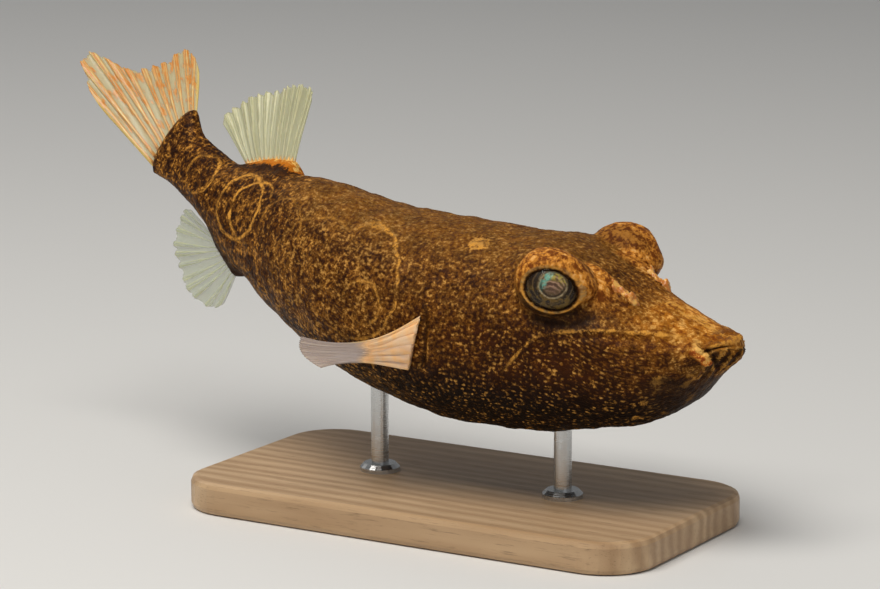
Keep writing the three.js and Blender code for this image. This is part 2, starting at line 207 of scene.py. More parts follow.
# Its lower end is a lobe that curls round the corner of the mouth, with a painted highlight along its
# upper edge; a crease parts it from the lower lip.
CORNER_FOLD = np.array([[4.6, 0.75], [4.1, 0.1], [3.55, -0.4], [3.1, -0.85], [2.85, -1.25]])
CORNER_EDGE = np.array([[4.4, 0.75], [4.0, 0.35], [3.5, 0.05], [3.0, -0.4], [2.6, -0.9]])
CORNER_CREASE = np.array([[2.75, 0.1], [2.3, -0.5], [1.95, -1.25], [2.1, -2.1]])
# The line of the mouth, the fold before the eye and the crease under it.
MOUTH_LINE = np.array(
    [[0.0, 0.45], [0.5, 0.55], [1.2, 0.55], [1.7, 0.45], [2.2, 0.28], [2.8, 0.0], [4.0, -0.45]]
)
BROW_FOLD = np.array([[20.1, 8.1], [18.4, 7.4], [17.0, 6.6], [16.1, 5.6], [15.8, 4.9]])
EYE_CREASE = np.array(
    [[14.9, 3.4], [15.7, 2.8], [17.0, 2.1], [18.5, 1.9], [20.1, 2.1], [22.0, 2.3], [24.0, 3.4]]
)
# Pale spots under the chin: station, side and height.
CHIN_SPOTS = np.array([
    [8.0, 3.5, -8.3],
    [10.7, 5.6, -9.0],
    [5.0, 4.9, -4.3],
    [5.3, 2.7, -6.3],
    [7.4, 7.1, -3.6],
    [9.4, 6.9, -6.4],
])
GILL_SLIT = np.array([[36.0, 1.6], [35.5, -1.5], [35.7, -4.5], [36.6, -6.8]])

# Rings of gold on the flanks: station, height, radius, the angle of the strongest part, and
# the strength there and across from it.
GOLD_RINGS = (
    (46.6, 1.9, 6.4, 170, 1.0, 0.1),
    (44.8, 0.2, 2.6, 150, 0.8, 0.3),
    (52.5, 0.0, 7.6, 70, 0.45, 0.0),
    (61.0, 2.6, 4.4, 80, 0.5, 0.1),
    (70.9, 2.1, 4.1, 120, 1.6, 0.9),
    (68.3, 2.4, 4.0, 10, 1.4, 0.0),
    (80.6, 1.8, 2.7, 120, 1.2, 0.5),
)


# ---- Number helpers ----


def smooth(value):
    t = np.clip(value, 0, 1)
    return t * t * (3 - 2 * t)


def bell(value, width):
    return np.exp(-((value / width) ** 2))


def within(share, first, last):
    """1 along the middle of a line, fading out over its first and last share."""
    return smooth(share / first) * smooth((1 - share) / last)


def direction(polar, around):
    """Unit vectors at an angle from the z axis and an angle round it."""
    return np.stack([np.sin(polar) * np.cos(around), np.sin(polar) * np.sin(around), np.cos(polar)], -1)


def soft_max(one, other, softness):
    """The larger of two values, rounded where they cross."""
    share = np.clip(0.5 + (other - one) / (2 * softness), 0, 1)
    return one + (other - one) * share + softness * share * (1 - share)


def curve_through(rows, column):
    """A smooth curve through a table's rows that never overshoots them."""
    x, y = rows[:, 0], rows[:, column]
    rise = np.diff(y) / np.diff(x)
    slope = np.concatenate([rise[:1], np.zeros(len(x) - 2), rise[-1:]])
    for i in range(1, len(x) - 1):
        if rise[i - 1] * rise[i] > 0:
            slope[i] = 2 * rise[i - 1] * rise[i] / (rise[i - 1] + rise[i])

    def at(value):
        value = np.asarray(value, float)
        i = np.clip(np.searchsorted(x, value) - 1, 0, len(x) - 2)
        width = x[i + 1] - x[i]
        t = np.clip((value - x[i]) / width, 0, 1)
        ease = t * t * (3 - 2 * t)
        bow = t * (1 - t) * width * (slope[i] * (1 - t) - slope[i + 1] * t)
        return y[i] + (y[i + 1] - y[i]) * ease + bow

    return at


def ripples(points, wavelength, seed, count=14):
    """A soft random surface made of sine waves, about -1 to 1, the same at each run."""
    rng = np.random.default_rng(seed)
    ways = rng.normal(size=(count, 3))
    ways /= np.linalg.norm(ways, axis=1, keepdims=True)
    pace = 2 * np.pi / (wavelength * rng.uniform(0.75, 1.35, (count, 1)))
    phase = rng.uniform(0, 2 * np.pi, count)
    return np.sin(points @ (ways * pace).T + phase).sum(-1) / math.sqrt(count)


def line_distance(points, line):
    """Distance in the side view from points to a line of straight pieces, and the share of the
    line's length that the nearest place has."""
    flat = points[..., [0, 2]]
    best = np.full(flat.shape[:-1], 1e9)
    share = np.zeros(flat.shape[:-1])
    for i, (start, end) in enumerate(zip(line[:-1], line[1:])):
        along = end - start
        t = np.clip(((flat - start) @ along) / (along @ along), 0, 1)
        away = np.linalg.norm(flat - start - t[..., None] * along, axis=-1)
        nearer = away < best
        best = np.where(nearer, away, best)
        share = np.where(nearer, (i + t) / (len(line) - 1), share)
    return best, share


# ---- The body's surface ----

half_width_at = curve_through(SECTIONS, 1)
back_at = curve_through(SECTIONS, 2)
belly_at = curve_through(SECTIONS, 3)


def closing(station):
    """Share of the full section that is left where the nose and the tail's root round off."""
    nose = np.clip(1 - station / NOSE_ROUNDING, 0, 1)
    tail = np.clip(1 - (END - station) / TAIL_ROUNDING, 0, 1)
    return np.sqrt(1 - nose**2) * np.sqrt(1 - 0.9 * tail**2)


def section_points(station, angle):
    """Points of the plain body, before the face is modelled."""

    def spread(value):
        return np.sign(value) * np.abs(value) ** (2 / ROUNDNESS)

    middle = (back_at(station) + belly_at(station)) / 2
    half_height = (back_at(station) - belly_at(station)) / 2
    side = half_width_at(station) * closing(station) * spread(np.cos(angle))
    height = middle + half_height * closing(station) * spread(np.sin(angle))
    return np.stack([station + 0 * side, side, height], -1)


class EyeFrame:
    """An eye's own frame: x back along the body, y up, z the way the eye looks, in a scale
    where the eye is round."""

    def __init__(self, side):
        out = EYE_AXIS * (1, side, 1)
        self.out = out / np.linalg.norm(out)
        back = np.array([1, 0, 0]) - self.out * self.out[0]
        self.back = back / np.linalg.norm(back)
        self.up = np.cross(self.back, self.out) * side
        self.centre = EYE_CENTRE * (1, side, 1)

    def into(self, points):
        away = points - self.centre
        return np.stack([away @ self.back / EYE_STRETCH, away @ self.up, away @ self.out], -1)

    def back_out(self, points):
        x, y, z = (points[..., i : i + 1] for i in range(3))
        return self.centre + x * EYE_STRETCH * self.back + y * self.up + z * self.out


EYES = {-1: EyeFrame(-1), 1: EyeFrame(1)}


def opening_share(points):
    """How far points in an eye's frame are from the middle of the eye's opening: 1 at its rim."""
    tilt = math.radians(OPENING_LOWER)
    x = points[..., 0]
    y = points[..., 1] * math.cos(tilt) + points[..., 2] * math.sin(tilt)
    z = points[..., 2] * math.cos(tilt) - points[..., 1] * math.sin(tilt)
    away = np.hypot(x / OPENING[0], y / OPENING[1]) / np.maximum(np.hypot(x, y), 1e-9)
    return np.degrees(np.arctan2(np.hypot(x, y), z)) * away


def model_eye(points):
    """Swells the head over an eye, opens the lids and rolls their rim, in the eye's frame."""
    anchor = np.array([0, 0, -ORBIT_ANCHOR])
    ray = points - anchor
    distance = np.linalg.norm(ray, axis=-1)
    unit = ray / distance[..., None]
    lean = ORBIT_ANCHOR * unit[..., 2]

    def reach(radius):
        return lean + np.sqrt(lean**2 + radius**2 - ORBIT_ANCHOR**2)

    hit = anchor + unit * reach(ORBIT_TOP)[..., None]
    share = opening_share(hit)
    up = smooth(0.5 + 0.62 * hit[..., 1] / ORBIT_TOP)
    full = ORBIT_LOW + (ORBIT_TOP - ORBIT_LOW) * up
    radius = ORBIT_RIM + (full - ORBIT_RIM) * smooth((share - 1.0) / 0.42)
    radius += 0.07 * bell(share - 1.06, 0.045) - 0.05 * bell(share - 1.22, 0.08)
    radius += 0.05 * up * np.sin(share * 24) * smooth((share - 1.25) / 0.2) * smooth((2.1 - share) / 0.5)
    radius = EYE_RADIUS - 1.0 + (radius - EYE_RADIUS + 1.0) * smooth((share - 0.84) / 0.19)
    wanted = reach(radius)
    raised = soft_max(distance, wanted, ORBIT_FILLET * (0.5 + 0.5 * up))
    inside = smooth((1.12 - share) / 0.1)
    raised = raised * (1 - inside) + wanted * inside
    near = distance < 14
    modelled = np.where(near[..., None], anchor + unit * raised[..., None], points)
    return modelled, np.where(near, share, 9.0), np.where(near, raised - distance, 0)


def sculpted(points):
    """Sets the corners of the mouth back, raises the ridges under the fins and models the eyes.
    Also returns each point's place about its eye's opening and how far the eye lifts it."""
    across = np.clip(np.abs(points[..., 1]) / half_width_at(points[..., 0]), 0, 1)
    shaped = points.copy()
    shaped[..., 0] += MOUTH_SET_BACK * across**2 * np.clip(1 - points[..., 0] / MOUTH_REACH, 0, 1) ** 1.5
    for start, end, rise, width, side in RIDGES:
        along = smooth((points[..., 0] - start) / 2.2) * smooth((end - points[..., 0]) / 6.0)
        outer = np.clip(points[..., 2] * side, 0, 1)
        shaped[..., 2] += side * rise * along * bell(points[..., 1], width) * outer
    share = np.full(points.shape[:-1], 9.0)
    lift = np.zeros(points.shape[:-1])
    for side, eye in EYES.items():
        modelled, about, raised = model_eye(eye.into(shaped))
        mine = (points[..., 1] * side > 0) & (about < 9)
        shaped = np.where(mine[..., None], eye.back_out(modelled), shaped)
        share = np.where(mine, about, share)
        lift = np.where(mine, raised, lift)
    return shaped, share, lift


def mouth_places(points):
    """Height above the line of the mouth, depth below it, and the turn round the snout from its
    tip, as the wrinkles of the lower lip see it."""
    x, y, z = points[..., 0], np.abs(points[..., 1]), points[..., 2]
    off = z - np.interp(x, MOUTH_LINE[:, 0], MOUTH_LINE[:, 1])
    depth = np.maximum(-off, 0)
    turn = np.arctan2(y, np.maximum(3.8 - x, 0.01))
    return off, depth, turn, turn - 0.042 * depth**2


def mouth_relief(points):
    """Height of the lips, the wrinkles round them and the lobe at the corner of the mouth."""
    x, y = points[..., 0], np.abs(points[..., 1])
    sizes = bpy.context.scene.puffer_skin
    off, depth, turn, wrinkle = mouth_places(points)
    front = smooth((4.3 - x) / 1.2)
    tip = 1 - smooth((turn - 0.3) / 0.7)
    upper_lip = (0.35 + 0.75 * tip) * bell(off - 0.42, 0.4)
    lower_lip = (1 - 0.9 * tip) * bell(off + 0.55, 0.45)
    height = sizes.lip_height * front * (upper_lip + lower_lip)
    height -= (0.5 - 0.42 * tip) * bell(off, 0.12) * smooth((3.4 - x) / 0.4)
    height -= 0.30 * tip * front * bell(off + 0.45, 0.55)

    fold, _ = line_distance(points, CORNER_FOLD)
    lower = smooth((fold - 0.65) / 0.3) * smooth((5.0 - x) / 1.2)
    lower *= smooth((depth - 0.1) / 0.3) * smooth((4.2 - depth) / 1.4)
    waves = np.cos(14.5 * (wrinkle - 0.2) + 0.8 * ripples(points, 1.2, 5)) + 0.4 * np.cos(41 * wrinkle)
    height -= sizes.wrinkle_depth * waves * lower
    upper = smooth((off - 0.1) / 0.2) * smooth((1.7 - off) / 0.5) * smooth((4.0 - x) / 0.8)
    height += 0.5 * sizes.wrinkle_depth * np.sin(turn * 24 + 1.0) * upper

    crease, _ = line_distance(points, CORNER_CREASE)
    lobe = smooth((0.8 - fold) / 0.6) * smooth((5.2 - x) / 1.6) * smooth((y - 1.5) / 1.0)
    return height + 0.42 * lobe - 0.30 * bell(crease, 0.24) * (y > 1)


def fold_relief(points, share):
    """Height of the cheek fold, the brow, the crease under the eye, the gill slit, the foot of
    the nostril flap and the swelling behind the eye."""
    x, y, z = points[..., 0], np.abs(points[..., 1]), points[..., 2]
    mirrored = np.stack([x, y, z], -1)
    ridge, along = line_distance(points, CHEEK_FOLD)
    below = ridge * np.sign(np.interp(x, CHEEK_FOLD[:, 0], CHEEK_FOLD[:, 1]) - z)
    cheek = bell(ridge, 0.34) - 0.8 * bell(below - 0.75, 0.4)
    height = bpy.context.scene.puffer_skin.cheek_fold * within(along, 0.08, 0.35) * cheek

    brow, along = line_distance(points, BROW_FOLD)
    ends = smooth(along / 0.3) * smooth((1 - along) / 0.2 + 0.4)
    height += 0.58 * bell(brow, 0.9) * ends * smooth((y - 2.6) / 1.2)
    under, along = line_distance(points, EYE_CREASE)
    height -= 0.30 * bell(under, 0.55) * within(along, 0.25, 0.25) * (y > 4)
    gill, along = line_distance(points, GILL_SLIT)
    cover = 0.3 * bell(x - 34.4, 0.9) * smooth((9.5 - np.abs(z + 2.5)) / 4)
    height += within(along, 0.2, 0.2) * (cover - 0.4 * bell(gill, 0.4))

    nostril = np.linalg.norm((mirrored - NOSTRIL_CENTRE) / (1.4, 1, 1), axis=-1)
    behind = np.linalg.norm((mirrored - BEHIND_EYE) / (1.2, 1, 1), axis=-1)
    return height + 0.4 * bell(nostril, 1.2) + 0.75 * bell(behind, 2.6) * smooth((share - 1.35) / 0.4)


def relief(points, share):
    """Height of everything that stands above or below the smooth form."""
    x = points[..., 0]
    height = mouth_relief(points) + fold_relief(points, share)
    body = smooth((x - 3) / 6) * smooth((88 - x) / 8) * smooth((share - 1.3) / 0.5)
    waves = 0.06 * ripples(points * (1, 1, 1.4), 5.0, 3) + 0.04 * ripples(points * (0.8, 1, 1.2), 1.7, 8)
    height += body * waves
    height += 0.022 * ripples(points, 0.75, 21) * smooth((x - 2) / 3) * smooth((share - 1.2) / 0.3)
    return height * smooth(share - 0.2)


def grid_normals(points):
    """Unit normals of a closed band of points, rings down and columns across, facing out."""
    down = np.gradient(points, axis=0)
    across = np.roll(points, -1, axis=1) - np.roll(points, 1, axis=1)
    normal = np.cross(down, across)
    normal /= np.maximum(np.linalg.norm(normal, axis=-1, keepdims=True), 1e-9)
    outward = points - points.mean(axis=1, keepdims=True)
    return normal if (normal * outward).sum() > 0 else -normal


class Body:
    """The bend of the spine and the fish's place over the stand."""

    def __init__(self):
        station = np.arange(int(SECTIONS[-1, 0]) + 1)
        share = smooth((station - POSE["bend_from"]) / (POSE["bend_to"] - POSE["bend_from"]))
        lift, turn, twist = (math.radians(POSE[name]) * share for name in ("lift", "turn", "twist"))
        back = np.stack([-np.cos(turn) * np.cos(lift), np.sin(turn) * np.cos(lift), np.sin(lift)], 1)
        up = np.stack([np.cos(turn) * np.sin(lift), -np.sin(turn) * np.sin(lift), np.cos(lift)], 1)
        left = np.cross(back, up)
        c, s = np.cos(twist)[:, None], np.sin(twist)[:, None]
        steps = 0.5 * (back[1:] + back[:-1])
        at = np.concatenate([np.zeros((1, 3)), np.cumsum(steps, axis=0)])
        self.tracks = (at, back, left * c + np.cross(back, left) * s, up * c + np.cross(back, up) * s)
        dip = Matrix.Rotation(math.radians(POSE["dip"]), 3, "Y")
        bank = Matrix.Rotation(math.radians(POSE["bank"]), 3, "X")
        self.turned = np.array(dip @ bank)

    def placed(self, points):
        """Straight body coordinates in millimetres to places in the stand's frame in metres."""
        last = len(self.tracks[0]) - 1
        station = np.clip(points[..., 0], 0, last)
        low = np.clip(np.floor(station).astype(int), 0, last - 1)
        part = (station - low)[..., None]
        at, back, left, up = (t[low] * (1 - part) + t[low + 1] * part for t in self.tracks)
        over = points[..., 0:1] - station[..., None]
        bent = at + over * back + points[..., 1:2] * left + points[..., 2:3] * up
        return (bent @ self.turned.T + np.array(SNOUT)) * MM


BODY = Body()


# ---- Mesh helpers ----


def make_piece(name, bm, places, material, replaces, attributes):
    """Moves a bmesh's vertices to their places, faces it outward and makes it a piece."""
    for vert, place in zip(bm.verts, places):
        vert.co = place
    bmesh.ops.recalc_face_normals(bm, faces=bm.faces)
    mesh = bpy.data.meshes.new(name)
    bm.to_mesh(mesh)
    bm.free()
    mesh.shade_smooth()
    for key, values in attributes.items():
        values = np.asarray(values, np.float32)
        kind, field = ("FLOAT", "value") if values.ndim == 1 else ("FLOAT_VECTOR", "vector")
        mesh.attributes.new(key, kind, "POINT").data.foreach_set(field, values.ravel())
    mesh.materials.append(material)
    piece = bpy.data.objects.new(name, mesh)
    bpy.context.collection.objects.link(piece)
    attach(piece, "root")
    if replaces:
        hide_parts(*replaces)
    return piece


def ball_grid(columns, rings):
    """A ball, and for each vertex its ring from one pole to the other and its column."""
    bm = bmesh.new()
    bmesh.ops.create_uvsphere(bm, u_segments=columns, v_segments=rings + 1, radius=1)
    co = np.array([v.co for v in bm.verts])
    ring = np.rint(np.arccos(np.clip(co[:, 2], -1, 1)) / np.pi * (rings + 1)).astype(int)
    column = np.rint(np.arctan2(co[:, 1], co[:, 0]) / (2 * np.pi) * columns).astype(int) % columns
    return bm, ring, column


def ball_angles(columns, rings):
    """A ball, and for each vertex its angle from the first pole and its angle round it."""
    bm, ring, column = ball_grid(columns, rings)
    return bm, ring / (rings + 1) * np.pi, column / columns * 2 * np.pi


def thin_blade(columns, rows):
    """Two sheets of squares joined round their edges, and each vertex's place: share across,
    share along and which face it is on."""
    bm = bmesh.new()
    for z in (0.05, -0.05):
        made = bmesh.ops.create_grid(bm, x_segments=columns, y_segments=rows, size=0.5)
        bmesh.ops.translate(bm, verts=made["verts"], vec=(0, 0, z))
    edges = [e for e in bm.edges if e.is_boundary]
    bmesh.ops.bridge_loops(bm, edges=edges)
    co = np.array([v.co for v in bm.verts])
    return bm, np.clip(co[:, 0] + 0.5, 0, 1), np.clip(co[:, 1] + 0.5, 0, 1), np.sign(co[:, 2])


def surface_normals(surface, share, along):
    """Unit normals of a surface given as a function of its two shares."""
    step = 1e-3
    across = surface(share + step, along) - surface(share - step, along)
    outward = surface(share, along + step) - surface(share, along - step)
    normal = np.cross(across, outward)
    return normal / np.maximum(np.linalg.norm(normal, axis=-1, keepdims=True), 1e-9)


def uneven(share):
    """Spaces a fin's rays a little unevenly across it."""
    return share + 0.010 * np.sin(share * 21) + 0.007 * np.sin(share * 47 + 1)


def ray_pattern(share, along, count, width):
    """Strength of a fin's rays, 1 on a ray and 0 on the membrane. Each ray forks twice."""
    cell = uneven(share) * count
    centre = np.floor(cell) + 0.5
    off = np.abs(cell - centre)
    first = 0.13 * smooth((along - 0.38) / 0.35)
    second = 0.055 * smooth((along - 0.68) / 0.28)
    to_branch = np.minimum(np.abs(off - first - second), np.abs(off - first + second))
    wide = width * (1 - 0.62 * smooth(along * 1.1))
    return bell(to_branch, wide)


# ---- Materials ----


class Tree:
    """Adds nodes to a material or node group in short calls."""

    def __init__(self, tree):
        self.tree = tree

    def put(self, target, value):
        if isinstance(value, bpy.types.NodeSocket):
            self.tree.links.new(value, target)
        elif hasattr(target.default_value, "__len__") and hasattr(value, "__len__"):
            value = tuple(value)
            if len(target.default_value) == 4 and len(value) == 3:
                value += (1.0,)
            target.default_value = value
        else:
            target.default_value = value

    def node(self, kind, inputs=None, **settings):
        made = self.tree.nodes.new("ShaderNode" + kind)
        for key, value in settings.items():
            setattr(made, key, value)
        for key, value in (inputs or {}).items():
            self.put(made.inputs[key], value)
        return made

    def math(self, operation, *values):
        made = self.node("Math", operation=operation)
        for i, value in enumerate(values):
            self.put(made.inputs[i], value)
        return made.outputs[0]

    def times(self, one, other):
        return self.math("MULTIPLY", one, other)

    def plus(self, one, other):
        return self.math("ADD", one, other)

    def minus(self, one, other):
        return self.math("SUBTRACT", one, other)

    def most(self, one, other):
        return self.math("MAXIMUM", one, other)

    def size_of(self, value):
        return self.math("ABSOLUTE", value)

    def add_scaled(self, value, gain, base):
        """A base and a value times its gain."""
        return self.math("MULTIPLY_ADD", value, gain, base)

    def sway(self, noise, gain, base):
        """A base moved up and down by a noise that lies round one half."""
        return self.add_scaled(self.minus(noise, 0.5), gain, base)

    def vector(self, operation, *values):
        made = self.node("VectorMath", operation=operation)
        for i, value in enumerate(values):
            self.put(made.inputs[i], value)
        return made.outputs["Vector"]

    def noise(self, at, scale, detail, roughness=0.5, distortion=0.0, output="Fac"):
        inputs = {"Vector": at, "Scale": scale, "Detail": detail}
        inputs.update({"Roughness": roughness, "Distortion": distortion})
        return self.node("TexNoise", inputs).outputs[output]

    def edges(self, at, scale):
        """Distance to the nearest edge of a net of cells."""
        net = self.node("TexVoronoi", {"Vector": at, "Scale": scale}, feature="DISTANCE_TO_EDGE")
        return net.outputs["Distance"]

    def span(self, value, low, high, out_low=0.0, out_high=1.0):
        """A value's smooth step from one range to another."""
        inputs = {"Value": value, "From Min": low, "From Max": high}
        inputs.update({"To Min": out_low, "To Max": out_high})
        return self.node("MapRange", inputs, interpolation_type="SMOOTHSTEP").outputs[0]

    def blend(self, share, one, other, how="MIX"):
        made = self.node("Mix", data_type="RGBA", blend_type=how, clamp_factor=True)
        for key, value in (("Factor_Float", share), ("A_Color", one), ("B_Color", other)):
            self.put(next(s for s in made.inputs if s.identifier == key), value)
        return next(s for s in made.outputs if s.identifier == "Result_Color")

    def read(self, name, output="Fac"):
        return self.node("Attribute", attribute_name=name, attribute_type="GEOMETRY").outputs[output]

    def parts(self, vector):
        return self.node("SeparateXYZ", {"Vector": vector}).outputs

    def read_parts(self, name):
        return self.parts(self.read(name, "Vector"))

    def bump(self, shader, height, strength, distance):
        made = self.node("Bump", {"Height": height, "Strength": strength, "Distance": distance})
        self.put(shader.inputs["Normal"], made.outputs[0])

    def group(self, group, inputs):
        made = self.tree.nodes.new("ShaderNodeGroup")
        made.node_tree = group
        for key, value in inputs.items():
            self.put(made.inputs[key], value)
        return made.outputs


def new_group(name, inputs, outputs):
    """A node group with named sockets: returns it, its Tree, its inputs and its output node."""
    group = bpy.data.node_groups.new(name, "ShaderNodeTree")
    for key, kind, default in inputs:
        made = group.interface.new_socket(key, in_out="INPUT", socket_type="NodeSocket" + kind)
        if default is not None:
            made.default_value = default
    for key, kind in outputs:
        group.interface.new_socket(key, in_out="OUTPUT", socket_type="NodeSocket" + kind)
    start = group.nodes.new("NodeGroupInput")
    return group, Tree(group), start.outputs, group.nodes.new("NodeGroupOutput")


def new_material(name, **shader):
    """A material with one Principled shader: returns it, its Tree and the shader."""
    material = bpy.data.materials.new(name)
    material.use_nodes = True
    material.node_tree.nodes.clear()
    tree = Tree(material.node_tree)
    inputs = {key.replace("_", " "): value for key, value in shader.items()}
    principled = tree.node("BsdfPrincipled", inputs)
    output = tree.node("OutputMaterial")
    tree.tree.links.new(principled.outputs[0], output.inputs["Surface"])
    return material, tree, principled


def shared_group(name, make):
    """A node group by its name, made when it's first asked for."""
    return bpy.data.node_groups.get(name) or make(name)


def grain_group(name):
    """Rows of pale raised tips on the unrolled skin; under the belly they lose their rows."""
    inputs = [
        ("Flat", "Vector", None),
        ("Solid", "Vector", None),
        ("Under", "Float", 0.0),
        ("Spacing", "Float", 0.7),
    ]
    group, tree, given, out = new_group(name, inputs, [("Tips", "Float")])
    scale = tree.math("DIVIDE", 1.0, given["Spacing"])
    long = tree.vector("MULTIPLY", given["Flat"], (0.82, 1.2, 1.0))
    cells = {"Vector": long, "Scale": scale, "Randomness": 0.75}
    rows = tree.node("TexVoronoi", cells, voronoi_dimensions="2D")
    loose = tree.node("TexVoronoi", {**cells, "Vector": given["Solid"]})
    under = tree.span(given["Under"], 0.9, 0.97)
    size = tree.node("SeparateColor", {"Color": rows.outputs["Color"]})
    in_rows, unruled = rows.outputs["Distance"], loose.outputs["Distance"]
    distance = tree.add_scaled(tree.minus(unruled, in_rows), under, in_rows)
    distance = tree.add_scaled(tree.minus(tree.noise(given["Solid"], 3.0, 2.0), 0.5), 0.7, distance)
    reach = tree.span(size.outputs[0], 0.0, 1.0, 0.34, 0.56)
    tips = tree.minus(1.0, tree.span(distance, 0.14, reach))
    tips = tree.times(tips, tree.span(size.outputs[1], 0.1, 0.9, 0.3, 1.0))
    tree.put(out.inputs["Tips"], tips)
    return group


class SkinNodes(Tree):
    """The skin's nodes: the maps and noises that its markings share, and the markings."""

    def __init__(self, tree, colours):
        super().__init__(tree)
        self.colours = colours
        self.at = self.read("body_map", "Vector")
        self.station, way_round, self.under = self.read_parts("skin_map")
        self.cheek_ridge, self.corner_fold, self.corner_edge = self.read_parts("fold_map")
        self.corner_crease, self.gill, _ = self.read_parts("crease_map")
        self.cheek_place, self.lobe_place, self.chin_place = self.read_parts("places")
        self.above_mouth, self.turn, self.wrinkle = self.read_parts("mouth_map")
        self.unrolled = self.node("CombineXYZ", {"X": self.station, "Y": way_round}).outputs[0]
        self.lid = self.read("lid")
        self.light = self.read("tone_light", "Vector")

        self.soft = self.noise(self.at, 0.45, 2.0, 0.6)
        self.coarse = self.noise(self.at, 1.1, 3.0, 0.6, 0.3)
        self.grit = self.noise(self.at, 2.1, 3.0, 0.68)
        self.fine = self.streaked_snout()
        wander = [self.times(self.minus(noise, 0.5), 0.7) for noise in (self.grit, self.coarse)]
        self.wander = self.plus(*wander)
        self.lip_wave = self.wave_round_lip()

    def streaked_snout(self):
        """The fine noise, drawn out into streaks along the snout."""
        stripes = self.noise(self.vector("MULTIPLY", self.unrolled, (0.8, 3.2, 1.0)), 1.0, 3.0, 0.6, 0.3)
        place = self.times(self.span(self.station, 22.0, 14.0), self.span(self.station, 3.0, 7.0))
        place = self.times(place, self.span(self.under, 0.34, 0.42, 0.0, 0.5))
        return self.add_scaled(self.minus(stripes, self.grit), place, self.grit)

    def wave_round_lip(self):
        """Waves round the lower lip, one for each of its wrinkles."""
        wander = self.times(self.minus(self.coarse, 0.5), 5.0)
        wave = self.add_scaled(self.minus(self.wrinkle, 0.2), 14.5, wander)
        wave = self.math("COSINE", self.sway(self.soft, 5.0, wave))
        return self.sway(self.grit, 3.0, self.sway(self.fine, 4.0, wave))

    def band(self, distance, width):
        """A line with uneven edges where a distance is nought."""
        off = self.size_of(self.plus(distance, self.wander))
        return self.span(off, width, self.times(width, 0.3))

    def net_lines(self):
        """Pale lines of a net of two sizes of cells, on the flank and the tail."""
        warp = self.noise(self.at, 0.6, 2.0, output="Color")
        bent = self.vector("MULTIPLY_ADD", warp, (1.8, 1.8, 1.8), self.at)
        large = self.span(self.edges(bent, 0.72), 0.10, 0.015)
        small = self.times(self.span(self.edges(bent, 1.35), 0.17, 0.03), 0.7)
        lines = self.times(self.most(large, small), self.span(self.coarse, 0.34, 0.58))
        return self.times(lines, self.read("net"))

    def ground(self, dots, lines):
        """The dark, middle and light tones under the markings."""
        snout = self.span(self.station, 12.0, 6.0)
        tone = self.sway(self.fine, self.add_scaled(snout, -1.1, 2.5), 0.46)
        tone = self.sway(self.coarse, self.add_scaled(snout, 1.6, 0.9), tone)
        tone = self.add_scaled(self.most(self.read("dots"), self.read("net")), -0.42, tone)
        marks = self.add_scaled(lines, 0.6, self.read("pale"))
        tone = self.plus(self.add_scaled(dots, 0.85, tone), marks)
        middle = self.read("tone_middle", "Vector")
        colour = self.blend(self.span(tone, 0.02, 0.5), self.read("tone_dark", "Vector"), middle)
        colour = self.blend(self.span(tone, 0.46, 0.95), colour, self.light)
        shade = self.blend(self.span(self.soft, 0.35, 0.65), (0.72, 0.70, 0.68), (1.15, 1.12, 1.1))
        return self.blend(1.0, colour, shade, "MULTIPLY")

    def gold_lines(self, colour, lines):
        """Gold on the cheek fold, rings, lips and spots, and here and there on the net."""
        from_ring, ring_strength, spot = self.read_parts("ring_map")
        broken = self.span(self.soft, 0.34, 0.52, 0.6, 1.0)
        broken = self.times(broken, self.span(self.fine, 0.36, 0.54, 0.35, 1.0))
        cheek = self.band(self.cheek_ridge, self.span(self.soft, 0.4, 0.6, 0.12, 0.32))
        cheek = self.times(cheek, self.cheek_place)
        ring = self.band(from_ring, self.add_scaled(ring_strength, 0.10, 0.13))
        ring = self.times(ring, ring_strength)
        ridge = self.span(self.lip_wave, -0.35, -1.1)
        ridge = self.times(ridge, self.span(self.coarse, 0.36, 0.52, 0.3, 1.0))
        ridge = self.times(ridge, self.chin_place)
        lower_edge = self.band(self.plus(self.above_mouth, 0.3), 0.2)
        lower_edge = self.times(lower_edge, self.span(self.turn, 1.5, 1.2, 0.0, 0.35))
        upper_edge = self.band(self.minus(self.above_mouth, 0.3), 0.28)
        upper_edge = self.times(upper_edge, self.span(self.corner_fold, 0.9, 1.4, 0.0, 0.85))
        upper_edge = self.times(upper_edge, self.span(self.turn, 1.45, 1.2))
        spot = self.span(self.add_scaled(self.wander, 1.4, spot), 0.12, 0.42)

        bright = self.times(self.most(cheek, ring), broken)
        for other in (
            self.times(ridge, 0.75),
            lower_edge,
            upper_edge,
            self.times(spot, broken),
            self.times(lines, self.span(self.soft, 0.45, 0.62, 0.0, 0.45)),
        ):
            bright = self.most(bright, other)
        pale_gold = self.blend(0.5, self.colours.gold, self.light)
        gold = self.blend(self.span(self.coarse, 0.4, 0.6), self.colours.gold, pale_gold)
        return self.blend(self.times(bright, self.span(self.fine, 0.28, 0.5, 0.45, 1.0)), colour, gold)

    def fin_pads(self, colour):
        """The dark and orange skin that the dorsal and anal fins stand on, with a painted highlight along
        the top of the dorsal pad.
        """
        colours = self.colours
        pad = self.add_scaled(self.wander, 0.9, self.read("dorsal_pad"))
        colour = self.blend(self.span(pad, 0.25, 0.45), colour, colours.pad_dark)
        colour = self.blend(self.span(pad, 0.55, 0.72), colour, colours.pad_orange)
        colour = self.blend(self.span(pad, 0.86, 0.98), colour, colours.fold_highlight)
        pad = self.add_scaled(self.wander, 0.35, self.read("anal_pad"))
        return self.blend(self.span(pad, 0.3, 0.6), colour, colours.pad_dark)

